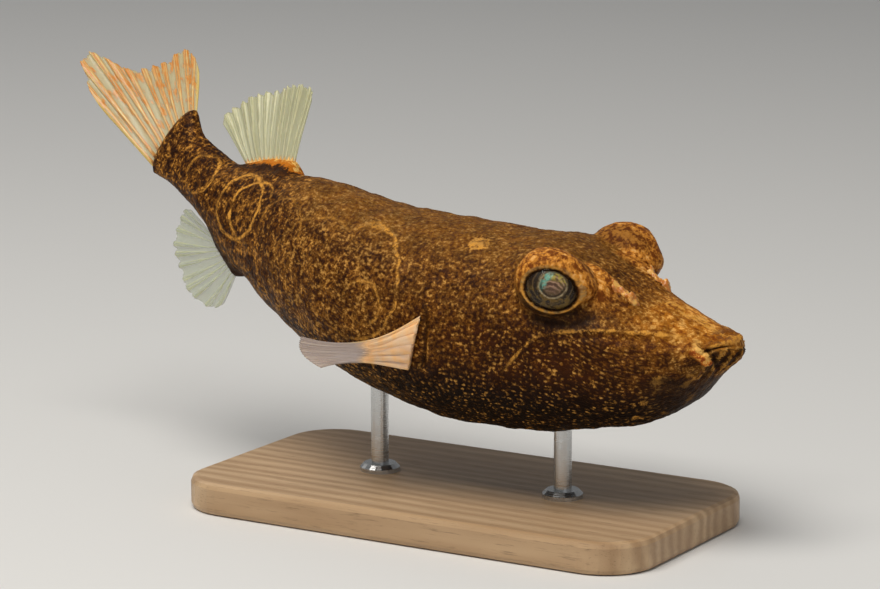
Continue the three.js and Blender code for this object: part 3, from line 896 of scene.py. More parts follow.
    def brow(self, colour):
        """Gold with brown blotches over the eyes, with painted shade on the dome of each."""
        dark, light = self.colours.brow_dark, self.colours.brow_light
        patch = self.sway(self.fine, 0.8, self.coarse)
        blotched = self.blend(self.span(patch, 0.36, 0.62), dark, light)
        bright = self.blend(0.5, light, (0.95, 0.62, 0.25))
        blotched = self.blend(self.span(patch, 0.60, 0.72, 0.0, 0.8), blotched, bright)
        colour = self.blend(self.read("brow"), colour, blotched)
        # Painted shade: darker copies of the brow's colours on the dome.
        dome = self.blend(self.span(patch, 0.36, 0.62), darker(dark, 0.55), darker(light, 0.5))
        return self.blend(self.times(self.read("dome"), 0.85), colour, dome)

    def corner_lobe(self, colour):
        """The peach lobe at the corner of the mouth, with a painted highlight along its upper edge and on
        its palest patches; returns its mask too.
        """
        colours = self.colours
        near = self.add_scaled(self.wander, 1.0, self.corner_fold)
        lobe = self.times(self.span(near, 0.58, 0.34), self.lobe_place)
        patch = self.sway(self.fine, 1.4, self.coarse)
        deep = tuple(c * k for c, k in zip(colours.fold, (0.42, 0.24, 0.2)))
        peach = self.blend(self.span(patch, 0.40, 0.52), deep, colours.fold)
        peach = self.blend(self.span(patch, 0.56, 0.66), peach, colours.fold_highlight)
        colour = self.blend(lobe, colour, peach)
        edge = self.times(self.band(self.corner_edge, 0.26), self.lobe_place)
        return self.blend(self.times(edge, 0.9), colour, colours.fold_highlight), lobe

    def eye_rims(self, colour):
        """The thin pale rim of the eyelids; returns its mask too."""
        outer = self.add_scaled(self.wander, 0.2, self.lid)
        rim = self.times(self.span(self.lid, 0.98, 1.03), self.span(outer, 1.12, 1.06))
        rim = self.times(rim, self.span(self.fine, 0.35, 0.55, 0.5, 1.0))
        pale = self.blend(self.span(self.coarse, 0.42, 0.58), self.colours.eye_rim, self.colours.gold)
        # The rim fades towards the top of the opening: painted shade of the brow.
        strength = self.span(self.read("lid_rise"), -0.1, 0.7, 0.9, 0.3)
        return self.blend(self.times(rim, strength), colour, pale), rim

    def lip_blotches(self, colour):
        """Reddish-brown blotches on the upper lip."""
        patch = self.sway(self.fine, 0.7, self.coarse)
        blotch = self.band(self.minus(self.above_mouth, 1.2), 1.3)
        blotch = self.times(self.span(patch, 0.46, 0.52), blotch)
        blotch = self.times(blotch, self.span(self.corner_fold, 0.6, 1.0, 0.0, 0.85))
        blotch = self.times(blotch, self.span(self.turn, 1.5, 1.25))
        return self.blend(blotch, colour, self.colours.blotch)

    def creases(self, colour, lobe, rim):
        """Painted shade in the slit of the mouth, the wrinkles, the creases and the gill slit, under the
        lids and wherever the shade mask lies.
        """
        groove = self.times(self.times(self.span(self.lip_wave, -0.35, 0.7), self.chin_place), 0.85)
        slit = self.span(self.size_of(self.above_mouth), 0.14, 0.05)
        slit = self.times(slit, self.span(self.turn, 1.42, 1.3, 0.0, 0.9))
        slit = self.times(slit, self.span(self.turn, 0.25, 0.9, 0.1, 1.0))
        crease = self.times(self.span(self.corner_crease, 0.3, 0.1), 0.9)
        gill = self.span(self.add_scaled(self.wander, 1.2, self.gill), 0.6, 0.1)
        dark = self.read("shade")
        for other in (groove, slit, crease, self.times(gill, 0.6)):
            dark = self.most(dark, other)
        keep = self.minus(1.0, self.most(rim, self.times(lobe, 0.95)))
        dark = self.most(self.times(dark, keep), self.span(self.lid, 1.01, 0.97, 0.0, 0.95))
        return self.blend(dark, colour, self.colours.crease)


def darker(colour, share):
    """A share of a colour's light."""
    return tuple(share * c for c in colour)


def skin_material():
    """The skin, from its ground up: tones, gold, pads, brows, lobes, rims, blotches, and the painted
    shade of the creases.
    """
    colours = bpy.context.scene.puffer_skin
    look = {"Roughness": 0.45, "Specular_IOR_Level": 0.07, "Coat_Roughness": 0.3}
    material, tree, shader = new_material("Puffer skin", **look)
    skin = SkinNodes(tree.tree, colours)
    rows = {"Flat": skin.unrolled, "Solid": skin.at, "Under": skin.under, "Spacing": colours.dot_spacing}
    grain = skin.group(shared_group("Skin grain", grain_group), rows)
    dots = skin.times(grain["Tips"], skin.read("dots"))
    lines = skin.net_lines()

    colour = skin.gold_lines(skin.ground(dots, lines), lines)
    colour, lobe = skin.corner_lobe(skin.brow(skin.fin_pads(colour)))
    colour, rim = skin.eye_rims(colour)
    colour = skin.creases(skin.lip_blotches(colour), lobe, rim)
    skin.put(shader.inputs["Base Color"], colour)

    height = skin.plus(skin.times(dots, 0.8), skin.times(skin.fine, 1.3))
    skin.bump(shader, height, 0.8, 0.00026)
    skin.put(shader.inputs["Roughness"], skin.span(skin.fine, 0.3, 0.7, 0.4, 0.6))
    skin.put(shader.inputs["Coat Weight"], skin.span(skin.coarse, 0.3, 0.7, 0.0, 0.04))
    return material


def eye_material():
    """The iris with its rings and flecks, and the pupil with its sheens, by place on the ball."""
    colours = bpy.context.scene.puffer_eyes
    material, tree, shader = new_material("Puffer iris", Roughness=0.35, Specular_IOR_Level=0.3)
    at = tree.read("eye_map", "Vector")
    back, up, _ = tree.parts(at)
    wobble = tree.noise(at, 0.9, 2.0)
    off = tree.math("SQRT", tree.plus(tree.times(back, back), tree.times(up, up)))
    off = tree.sway(wobble, 0.3, off)
    flecks = tree.noise(at, 3.2, 4.0, 0.75)
    patches = tree.noise(at, 1.5, 2.0)

    rings = tree.span(tree.math("SINE", tree.times(off, 12.5)), 0.2, 1.0)
    olive = tree.times(rings, tree.span(flecks, 0.35, 0.6, 0.2, 0.9))
    gold = tree.times(tree.span(patches, 0.5, 0.6, 0.0, 0.8), tree.span(up, 0.2, -1.6))
    iris = tree.blend(olive, colours.iris_dark, colours.iris_light)
    iris = tree.blend(gold, iris, colours.iris_gold)
    # Painted shadow of the upper lid: the iris darkens towards its top.
    iris = tree.blend(tree.span(up, 1.5, 2.5, 0.0, 0.8), iris, colours.iris_dark)

    core = tree.span(tree.add_scaled(patches, 1.6, off), 1.1, 2.1)
    # Radial stripes of pinkish sheen over the pupil: a painted highlight.
    bow = tree.times(tree.add_scaled(tree.times(back, back), 0.5, up), 11.0)
    folds = tree.span(tree.math("SINE", tree.add_scaled(flecks, 7.0, bow)), -0.1, 0.9)
    folds = tree.times(folds, tree.span(up, -0.9, 0.1, 0.15, 0.7))
    green = tree.span(tree.add_scaled(back, -0.2, up), 0.35, 0.9)
    green = tree.times(green, tree.span(flecks, 0.42, 0.56))
    rear = tree.add_scaled(back, 0.9, tree.times(up, 0.35))
    teal = tree.times(tree.span(rear, 0.35, 0.75), tree.span(patches, 0.32, 0.42))
    teal = tree.times(teal, tree.span(flecks, 0.40, 0.52, 0.1, 1.0))
    pupil = tree.blend(core, colours.pupil_core, colours.pupil)
    pupil = tree.blend(folds, pupil, colours.pupil_light)
    pupil = tree.blend(green, pupil, colours.sheen_green)
    pupil = tree.blend(teal, pupil, colours.sheen_teal)

    radius = colours.pupil_radius
    colour = tree.blend(tree.span(off, radius + 0.02, radius - 0.1), iris, pupil)
    lower = tree.span(up, -0.6, 1.3, 1.0, 0.12)
    hollow = tree.span(tree.size_of(tree.minus(off, radius - 0.22)), 0.2, 0.05)
    colour = tree.blend(tree.times(hollow, tree.times(lower, 0.8)), colour, colours.iris_dark)
    edge = tree.span(tree.size_of(tree.minus(off, radius)), 0.13, 0.04)
    edge = tree.times(edge, tree.span(flecks, 0.4, 0.56, 0.3, 1.0))
    colour = tree.blend(tree.times(edge, lower), colour, colours.pupil_ring)
    colour = tree.blend(tree.span(off, 2.95, 3.3), colour, colours.iris_dark)
    tree.put(shader.inputs["Base Color"], colour)
    tree.bump(shader, tree.times(rings, 0.5), 0.35, 0.0001)
    return material


def cornea_material():
    """Clear, and weak in how it bends light, so that the eye under it keeps its shape."""
    look = {"Base_Color": (0.97, 0.97, 0.94), "Roughness": 0.05, "IOR": 1.09, "Transmission_Weight": 1.0}
    return new_material("Puffer cornea", **look)[0]


def fin_group(name):
    """Colour and cover of a fin's web: rays, their stripes and the clear web between them."""
    inputs = [
        ("Ray", "Float", 0.0),
        ("Map", "Vector", None),
        ("Web", "Color", (1, 1, 1, 1)),
        ("Spine", "Color", (1, 1, 1, 1)),
        ("Stripe", "Color", (1, 1, 1, 1)),
        ("Stripes", "Float", 0.0),
        ("Web Cover", "Float", 0.4),
        ("Ray Cover", "Float", 0.9),
    ]
    outputs = [("Color", "Color"), ("Cover", "Float"), ("Height", "Float")]
    group, tree, given, out = new_group(name, inputs, outputs)
    _, along, _ = tree.parts(given["Map"])
    stretched = tree.vector("MULTIPLY", given["Map"], (60, 14, 1))
    streak = tree.noise(stretched, 1.0, 3.0, 0.6)
    blot = tree.noise(tree.vector("MULTIPLY", given["Map"], (16, 7, 1)), 1.0, 2.0)
    ray = given["Ray"]
    paler = tree.times(tree.span(ray, 0.25, 0.8), tree.span(streak, 0.35, 0.6, 0.4, 1.0))
    colour = tree.blend(paler, given["Web"], given["Spine"])
    beside_ray = tree.times(tree.span(ray, 0.12, 0.5), tree.minus(1.0, tree.span(ray, 0.75, 1.0)))
    stripe = tree.times(tree.most(beside_ray, tree.span(blot, 0.52, 0.66)), given["Stripes"])
    streaked = tree.times(stripe, tree.span(streak, 0.25, 0.6, 0.35, 1.0))
    colour = tree.blend(streaked, colour, given["Stripe"])
    cover = tree.most(given["Web Cover"], tree.span(ray, 0.1, 0.7, 0.0, given["Ray Cover"]))
    cover = tree.most(cover, stripe)
    cover = tree.most(cover, tree.span(along, 0.22, 0.06))
    height = tree.add_scaled(streak, 0.35, ray)
    for key, value in (("Color", colour), ("Cover", cover), ("Height", height)):
        tree.put(out.inputs[key], value)
    return group


def fin_material(name, web, spine, stripe, stripes, cover, flesh, edge):
    """A fin: web and rays beyond a fleshy base. Cover is that of the web and that of a ray, and
    flesh the base's two colours."""
    look = {"Roughness": 0.4, "Coat_Weight": 0.25, "Coat_Roughness": 0.2}
    under = {"Subsurface_Weight": 0.15, "Subsurface_Radius": (0.0012, 0.0008, 0.0004)}
    material, tree, shader = new_material(name, Subsurface_Scale=1.0, **look, **under)
    values = {
        "Ray": tree.read("ray"),
        "Map": tree.read("fin_map", "Vector"),
        "Web": web,
        "Spine": spine,
        "Stripe": stripe,
        "Stripes": stripes,
        "Web Cover": cover[0],
        "Ray Cover": cover[1],
    }
    fin = tree.group(shared_group("Fin web", fin_group), values)
    spots = tree.noise(tree.read("body_map", "Vector"), 0.9, 3.0)
    base = tree.span(tree.sway(spots, 0.35, tree.read("flesh")), 0.15, 0.85)
    fleshy = tree.blend(tree.span(spots, 0.3, 0.7), flesh[0], flesh[1])
    fleshy = tree.blend(tree.times(tree.read("shadow"), 0.6), fleshy, (0.40, 0.30, 0.30))
    margin = tree.read("margin")
    colour = tree.blend(base, tree.blend(margin, fin["Color"], edge), fleshy)
    cover_all = tree.most(tree.most(fin["Cover"], base), tree.times(margin, 0.75))
    tree.put(shader.inputs["Base Color"], colour)
    tree.put(shader.inputs["Alpha"], cover_all)
    tree.bump(shader, fin["Height"], 0.4, 0.0001)
    return material


def nostril_material():
    """Orange skin, brown where it runs into the snout."""
    look = {"Roughness": 0.4, "Coat_Weight": 0.2, "Coat_Roughness": 0.2}
    under = {"Subsurface_Weight": 0.2, "Subsurface_Radius": (0.001, 0.0006, 0.0003)}
    material, tree, shader = new_material("Nostril flap", Subsurface_Scale=1.0, **look, **under)
    at = tree.read("body_map", "Vector")
    blot = tree.noise(at, 1.4, 3.0)
    fine = tree.noise(at, 4.0, 3.0)
    colour = tree.blend(tree.span(blot, 0.42, 0.6), (0.50, 0.17, 0.02), (0.82, 0.44, 0.10))
    tree.put(shader.inputs["Base Color"], tree.blend(tree.read("flesh"), colour, (0.22, 0.08, 0.014)))
    tree.bump(shader, fine, 0.3, 0.0001)
    return material


def wood_material():
    """Oiled wood with bands and pores along the base."""
    colours = bpy.context.scene.puffer_stand
    material, tree, shader = new_material(
        "Oiled wood", Roughness=0.45, Coat_Weight=0.15, Coat_Roughness=0.3
    )
    at = tree.node("TexCoord").outputs["Object"]
    along_grain = {"Vector": at, "Scale": (55, 420, 420), "Rotation": (0, 0.02, 0.03)}
    lengthwise = tree.node("Mapping", along_grain).outputs[0]
    drift = tree.noise(lengthwise, 0.35, 3.0, 0.55)
    waves = {"Vector": lengthwise, "Scale": 0.32, "Distortion": 5.5, "Detail": 3.0, "Detail Scale": 1.2}
    bands = tree.node("TexWave", waves, bands_direction="Y").outputs["Fac"]
    fibre = tree.node("Mapping", {"Vector": at, "Scale": (260, 5200, 5200)}).outputs[0]
    pores = tree.noise(fibre, 1.0, 4.0, 0.7)
    colour = tree.blend(tree.times(bands, 0.75), colours.wood_light, colours.wood_dark)
    colour = tree.blend(tree.span(drift, 0.35, 0.7, 0.0, 0.5), colour, colours.wood_dark)
    colour = tree.blend(tree.span(pores, 0.56, 0.72, 0.0, 0.6), colour, darker(colours.wood_dark, 0.35))
    tree.put(shader.inputs["Base Color"], colour)
    tree.put(shader.inputs["Roughness"], tree.span(pores, 0.3, 0.7, 0.38, 0.6))
    tree.bump(shader, tree.minus(1.0, pores), 0.25, 0.00008)
    return material


def steel_material():
    """Steel brushed round the rods."""
    material, tree, shader = new_material("Brushed steel", Metallic=1.0, Roughness=0.3)
    at = tree.node("TexCoord").outputs["Object"]
    turned = tree.node("Mapping", {"Vector": at, "Scale": (350, 350, 9000)}).outputs[0]
    lines = tree.noise(turned, 1.0, 4.0, 0.65)
    smudge = tree.noise(at, 260.0, 2.0)
    tree.put(shader.inputs["Base Color"], tree.blend(lines, (0.46, 0.47, 0.48), (0.66, 0.66, 0.65)))
    rough = tree.plus(tree.span(lines, 0.25, 0.75, 0.2, 0.34), tree.span(smudge, 0.4, 0.7, 0.0, 0.1))
    tree.put(shader.inputs["Roughness"], rough)
    tree.bump(shader, lines, 0.15, 0.00004)
    return material


# ---- Settings ----


def colour_property(name, description, default):
    look = {"subtype": "COLOR", "size": 3, "min": 0, "max": 1}
    return FloatVectorProperty(name=name, description=description, default=default, **look)


def size_property(name, description, default, least, most):
    """A size in millimetres."""
    words = description + ", in millimetres"
    return FloatProperty(name=name, description=words, default=default, min=least, max=most)


def length_property(name, description, default):
    """A length in metres."""
    return FloatProperty(name=name, description=description, default=default, unit="LENGTH")


def angle_property(name, description, degrees):
    angle = math.radians(degrees)
    return FloatProperty(name=name, description=description, default=angle, subtype="ANGLE")


def power_property(name, description, default):
    return FloatProperty(name=name, description=description, default=default, min=0, subtype="POWER")


def ray_property(name, description, default):
    return IntProperty(name=name, description=description, default=default, min=4, max=24)


class PufferSkinSettings(bpy.types.PropertyGroup):
    """Sizes and colours of the skin."""

    columns: IntProperty(name="Columns", description="Faces round the body", default=256, min=64, max=288)
    lip_height: size_property("Lip height", "How far the lips stand out", 0.24, 0, 1)
    wrinkle_depth: size_property("Lip wrinkles", "Depth of the wrinkles on the lips", 0.1, 0, 0.3)
    cheek_fold: size_property("Cheek fold", "Height of the fold across the cheek", 0.17, 0, 1)
    dot_spacing: size_property("Dot spacing", "Distance between the pale dots", 0.62, 0.3, 3)
    # The tones below are lighter on the back and darker towards the belly edge: partly the fish's own
    # colours, partly painted light and shade from above.
    snout_dark: colour_property("Snout, dark", "Ground of the top of the snout", (0.25, 0.065, 0.005))
    snout_light: colour_property("Snout, light", "Pale marks of the top of the snout", (0.88, 0.45, 0.11))
    back_dark: colour_property("Back, dark", "Ground of the back", (0.11, 0.035, 0.005))
    back_light: colour_property("Back, light", "Fine pale marks of the back", (0.35, 0.19, 0.06))
    side_dark: colour_property("Side, dark", "Ground of the cheek and flank", (0.036, 0.009, 0.001))
    side_light: colour_property("Side, light", "Pale dots of the cheek and flank", (0.47, 0.24, 0.055))
    low_dark: colour_property(
        "Belly edge, dark", "Ground of the lower cheek and belly edge", (0.006, 0.002, 0.001)
    )
    low_light: colour_property("Belly edge, light", "Pale dots of the belly edge", (0.50, 0.26, 0.06))
    tail_dark: colour_property("Tail, dark", "Ground of the root of the tail", (0.020, 0.005, 0.001))
    tail_light: colour_property("Tail, light", "Pale net of the root of the tail", (0.50, 0.23, 0.04))
    brow_light: colour_property("Brow, light", "Gold of the skin over the eyes", (0.66, 0.26, 0.035))
    brow_dark: colour_property("Brow, dark", "Brown blotches over the eyes", (0.17, 0.042, 0.004))
    eye_rim: colour_property("Eye rim", "Thin pale edge of the eyelids", (0.44, 0.26, 0.09))
    gold: colour_property("Gold", "Gold of the rings and lines on the skin", (0.66, 0.30, 0.045))
    fold: colour_property("Fold", "Peach fold at the corner of the mouth", (0.80, 0.29, 0.045))
    # Painted highlight: the pale colour along the upper edge of that fold and along the top of the dorsal
    # fin's pad.
    fold_highlight: colour_property("Fold edge", "Pale upper edge of that fold", (0.86, 0.50, 0.13))
    pad_dark: colour_property(
        "Fin pad, dark", "Dark brown skin at the foot of the fin pads", (0.030, 0.009, 0.002)
    )
    pad_orange: colour_property(
        "Fin pad, orange", "Orange upper part of the dorsal fin's pad", (0.50, 0.15, 0.008)
    )
    blotch: colour_property("Blotches", "Reddish-brown blotches on the upper lip", (0.13, 0.035, 0.008))
    # Painted shade: the colour put into the creases, the slit of the mouth, the wrinkles, the gill slit
    # and under the lids, the eyes and the jaw.
    crease: colour_property("Crease", "Dark skin deep in the creases", (0.016, 0.006, 0.002))


class PufferEyeSettings(bpy.types.PropertyGroup):
    """Sizes and colours of the eyes."""

    pupil_radius: size_property("Pupil radius", "Radius of the pupil", 1.5, 0.5, 2.6)
    iris_light: colour_property("Iris, light", "Olive rings of the iris", (0.13, 0.075, 0.022))
    iris_dark: colour_property("Iris, dark", "Ground of the iris", (0.016, 0.008, 0.004))
    iris_gold: colour_property("Iris, gold", "Gold flecks low on the iris", (0.19, 0.105, 0.014))
    pupil: colour_property("Pupil", "Outer part of the pupil", (0.14, 0.085, 0.04))
    pupil_core: colour_property("Pupil, middle", "Middle of the pupil", (0.10, 0.045, 0.03))
    pupil_light: colour_property("Pupil, light", "Pinkish sheen over the pupil", (0.45, 0.28, 0.19))
    pupil_ring: colour_property("Pupil ring", "Thin pale edge of the pupil", (0.42, 0.33, 0.19))
    sheen_teal: colour_property("Sheen, teal", "Teal sheen at the rear of the pupil", (0.15, 0.42, 0.34))
    sheen_green: colour_property(
        "Sheen, green", "Yellow-green sheen at the top of the pupil", (0.48, 0.38, 0.06)
    )


class PufferFinSettings(bpy.types.PropertyGroup):
    """Rays, thickness and colours of the fins."""

    dorsal_rays: ray_property("Dorsal rays", "Rays in the dorsal fin", 13)
    anal_rays: ray_property("Anal rays", "Rays in the anal fin", 11)
    caudal_rays: ray_property("Tail rays", "Rays in the tail fin", 11)
    pectoral_rays: ray_property("Pectoral rays", "Rays in each pectoral fin", 14)
    web: colour_property("Web", "Thin web between the rays", (0.48, 0.47, 0.24))
    spine: colour_property("Rays", "Pale rays", (0.66, 0.63, 0.38))
    stripe: colour_property("Stripes", "Orange stripes of the tail fin", (0.60, 0.19, 0.008))
    flesh_light: colour_property("Flesh, light", "Gold of the fleshy fin roots", (0.66, 0.28, 0.045))
    flesh_dark: colour_property("Flesh, dark", "Brown of the fleshy fin roots", (0.12, 0.04, 0.006))


class PufferStandSettings(bpy.types.PropertyGroup):
    """Colours of the display stand."""

    wood_light: colour_property("Wood, light", "Early wood of the base", (0.56, 0.38, 0.215))
    wood_dark: colour_property("Wood, dark", "Late wood of the base", (0.34, 0.20, 0.095))


class PufferStageSettings(bpy.types.PropertyGroup):
    """Camera, floor and light."""

    azimuth: angle_property("Azimuth", "Direction of the camera round the fish", 30.88)
    elevation: angle_property("Elevation", "Angle of the camera above the fish", 11.42)
    distance: length_property("Distance", "From the snout tip to the camera", 0.42)
    across: length_property("Across", "How far the camera stands to the left of the snout", 0.03543)
    above: length_property("Above", "How far the camera's aim is above the snout", 0.00633)
    lens: FloatProperty(
        name="Lens",
        description="Focal length",
        default=147.49,
        min=20,
        max=400,
        subtype="DISTANCE_CAMERA",
    )
    floor: colour_property("Floor", "Colour of the studio floor", (0.72, 0.715, 0.70))
    key: power_property("Key light", "Power of the main light in watts", 3.1)
    fill: power_property("Fill light", "Power of the soft side light in watts", 0.25)
    sky: FloatProperty(
        name="Sky",
        description="Strength of the even light from all round",
        default=0.22,
        min=0,
    )


# ---- The skin ----


def ring_stations():
    """Stations of the skin's rings, closest together where the face has most detail."""
    nose = NOSE_ROUNDING * (1 - np.cos(np.linspace(0, np.pi / 2, 11)[1:]))
    stations = [*nose]
    for end, step in ((12, 0.17), (34, 0.24), (40, 0.26), (66, 0.35), (89.4, 0.31), (END - 0.02, 0.18)):
        count = max(1, round((end - stations[-1]) / step))
        stations.extend(np.linspace(stations[-1], end, count + 1)[1:])
    return np.array(stations)


def drawn_to_eyes(station, angle):
    """Gathers rings and columns over the eyes, where the skin is stretched most."""
    for eye in EYES.values():
        target = eye.centre - eye.out * 1.3
        middle = (back_at(target[0]) + belly_at(target[0])) / 2
        rise = (target[2] - middle) / (back_at(target[0]) - middle)
        around = math.atan2(rise, target[1] / half_width_at(target[0]))
        surface = section_points(np.array(target[0]), np.array(around))
        away = np.linalg.norm(section_points(station, angle) - surface, axis=-1)
        keep = 0.40 + 0.60 * smooth(away / 8.5)
        turn = (angle - around + np.pi) % (2 * np.pi) - np.pi
        station = target[0] + (station - target[0]) * keep
        angle = around + turn * keep
    return station, angle


def unrolled(station, plain):
    """The skin laid flat: station and the way round from the middle of the back, in millimetres."""
    step = np.linalg.norm(np.roll(plain, -1, axis=1) - plain, axis=-1)
    round_to = np.cumsum(step, axis=1) - step
    whole = round_to[:, -1:] + step[:, -1:]
    top = np.take_along_axis(round_to, plain[..., 2].argmax(axis=1)[:, None], axis=1)
    way = (round_to - top + whole / 2) % whole - whole / 2
    return np.stack([station, way * (70 / np.maximum(whole, 20)) ** 0.75, np.abs(way) / (whole / 2)], -1)


def ground_masks(points):
    """The skin's dark, middle and light tones, and the strength of its dots and net. The tones are
    lighter on the back and the top of the snout and darker on the cheek and belly edge, partly the fish's
    own colours and partly painted light and shade from above.
    """
    x, z = points[..., 0], points[..., 2]
    settings = bpy.context.scene.puffer_skin
    snout = smooth((16 - x) / 11)
    upper = smooth((z + 1.5) / 5)
    low = smooth((-3 - z) / 6)
    back = smooth((z - 5) / 5) * smooth((x - 12) / 8)
    tail = smooth((x - 58) / 10)
    cheek = bell(x - 21, 12) * (1 - upper)

    def tones(word):
        tone = np.array(getattr(settings, "side_" + word)) * np.ones(x.shape + (1,))
        for share, area in ((back, "back_"), (low, "low_"), (tail, "tail_"), (snout * upper, "snout_")):
            tone = tone + (np.array(getattr(settings, area + word)) - tone) * share[..., None]
        return tone

    dark, light = tones("dark"), tones("light")
    net = 0.6 * smooth((x - 38) / 10) * (1 - 0.8 * back)
    return {
        "tone_dark": dark,
        "tone_middle": np.sqrt(dark * light) * (1.06, 1.04, 0.55),
        "tone_light": light,
        # Paler on the top of the snout, darker on the cheek and low down: partly the fish's own colours,
        # partly painted light and shade from above.
        "pale": 0.2 * snout * upper - 0.12 * cheek - 0.1 * low,
        "dots": np.clip(0.25 + 0.7 * cheek + 0.45 * low + 0.25 * net - 0.3 * tail, 0, 1),
        "net": net,
    }


def face_masks(points):
    """Distances to the folds and creases of the face, and where the marks along them may be."""
    x, y, z = points[..., 0], np.abs(points[..., 1]), points[..., 2]
    off, depth, turn, wrinkle = mouth_places(points)
    ridge, along = line_distance(points, CHEEK_FOLD)
    fold, fold_along = line_distance(points, CORNER_FOLD)
    edge, _ = line_distance(points, CORNER_EDGE)
    crease, _ = line_distance(points, CORNER_CREASE)
    gill, _ = line_distance(points, GILL_SLIT)
    lobe = smooth((5.0 - x) / 1.6) * smooth((x - 1.2) / 0.6) * smooth((y - 1.5) / 1.0)
    lobe *= smooth(fold_along / 0.3 + 0.2)
    chin = smooth((depth - 0.15) / 0.25) * smooth((4.6 - depth) / 1.8) * smooth((5.4 - x) / 1.4)
    chin *= 1 - smooth((x - 2.9) / 0.8) * smooth((z + 3.2) / 0.8)
    return {
        "fold_map": np.stack([ridge, fold, edge], -1),
        "crease_map": np.stack([crease, gill, 0 * gill], -1),
        "mouth_map": np.stack([off, turn, wrinkle], -1),
        "places": np.stack([within(along, 0.06, 0.2), lobe, chin], -1),
    }


def ring_mask(points, noise):
    """Distance to the nearest gold ring, its strength there, and the gold spots."""
    x, y, z = points[..., 0], np.abs(points[..., 1]), points[..., 2]
    nearest = np.full(x.shape, 9.0)
    ring_strength = np.zeros(x.shape)
    for station, height, radius, strongest, strength, least in GOLD_RINGS:
        along, above = x - station, z - height
        from_line = np.abs(np.hypot(along, above) - radius + 0.12 * noise)
        bearing = np.arctan2(above, along)
        facing = 0.5 + 0.5 * np.cos(bearing - math.radians(strongest))
        here = least + (strength - least) * smooth(1.4 * facing)
        closer = from_line / (0.3 + here) < nearest / (0.3 + ring_strength)
        nearest = np.where(closer, from_line, nearest)
        ring_strength = np.where(closer, here, ring_strength)

    dash = bell(np.hypot((x - 32.8) / 1.15, (z - 8.5) / 0.42), 1.0) * (points[..., 1] < 0)
    # Gold along the top ridge of the snout: partly its own colour, partly a painted highlight.
    crest = bell(y - 0.25, 0.75) * smooth((11.5 - x) / 2.5) * smooth((x - 0.6) / 1.2)
    crest *= smooth((z - 0.6) / 0.4) * smooth(0.6 + 0.6 * noise)
    spot = np.maximum(dash, crest)
    mirrored = np.stack([x, y, z], -1)
    for place in CHIN_SPOTS:
        spot = np.maximum(spot, 0.45 * bell(np.linalg.norm(mirrored - place, axis=-1), 0.62))
    return np.stack([nearest, ring_strength * smooth((y - 1.2) / 1.5), spot], -1)


def eye_masks(points, share, lift, noise):
    """The gold over the eyes, the painted shade on their domes, and the shade under them and the jaw."""
    x, y, z = points[..., 0], np.abs(points[..., 1]), points[..., 2]
    into = {side: eye.into(points)[..., 1] / ORBIT_TOP for side, eye in EYES.items()}
    rise = np.where(points[..., 1] < 0, into[-1], into[1])
    mound = smooth((share - 1.04) / 0.08) * smooth((lift - 0.25 + 0.15 * noise) / 0.7)
    brow, along = line_distance(points, BROW_FOLD)
    tip = 0.95 * bell(brow, 1.1) * smooth(along / 0.2) * smooth((y - 2.6) / 1.2)
    upper = 0.12 + 0.88 * smooth(0.55 + rise * 1.1)
    # The gold fades on the inner side of each mound: painted shade, as on the domes.
    outer = 0.2 + 0.8 * smooth((y - 5.8) / 3)
    under, along = line_distance(points, EYE_CREASE)
    wedge = bell(under + 0.1 * noise, 0.9) * within(along, 0.2, 0.25) * (y > 4)
    below = smooth((share - 1.13) / 0.05) * smooth((1.75 - share) / 0.45) * smooth(-rise * 2.2 - 0.5)
    jaw = 0.75 * smooth((-z - 2.8 + 0.6 * noise) / 1.4) * smooth((11 - x) / 4)
    return {
        "lid": share,
        "lid_rise": rise,
        "brow": np.clip(np.maximum(mound * upper * outer, tip), 0, 1),
        "dome": np.clip(mound * (1 - smooth((y - 7.6) / 1.6)) * smooth((z - 7.4) / 1.2), 0, 1),
        "shade": np.clip(np.maximum(np.maximum(0.9 * wedge, 0.9 * below), jaw), 0, 1),
    }


def pad_masks(points):
    """The ridges that the dorsal and anal fins stand on."""
    x, y, z = points[..., 0], np.abs(points[..., 1]), points[..., 2]
    masks = {}
    for (start, end, _, width, side), name in zip(RIDGES, ("dorsal_pad", "anal_pad")):
        along = smooth((x - start + 0.6) / 1.6) * smooth((end - x) / 5.0)
        masks[name] = along * bell(y, 1.15 * width) * (z * side > 0)
    return masks


def skin_masks(points, share, lift):
    """Everything that the skin's material reads: places, distances, strengths and tones."""
    noise = ripples(points, 2.4, 31)
    return {
        "body_map": points,
        "ring_map": ring_mask(points, noise),
        **ground_masks(points),
        **face_masks(points),
        **pad_masks(points),
        **eye_masks(points, share, lift, noise),
    }


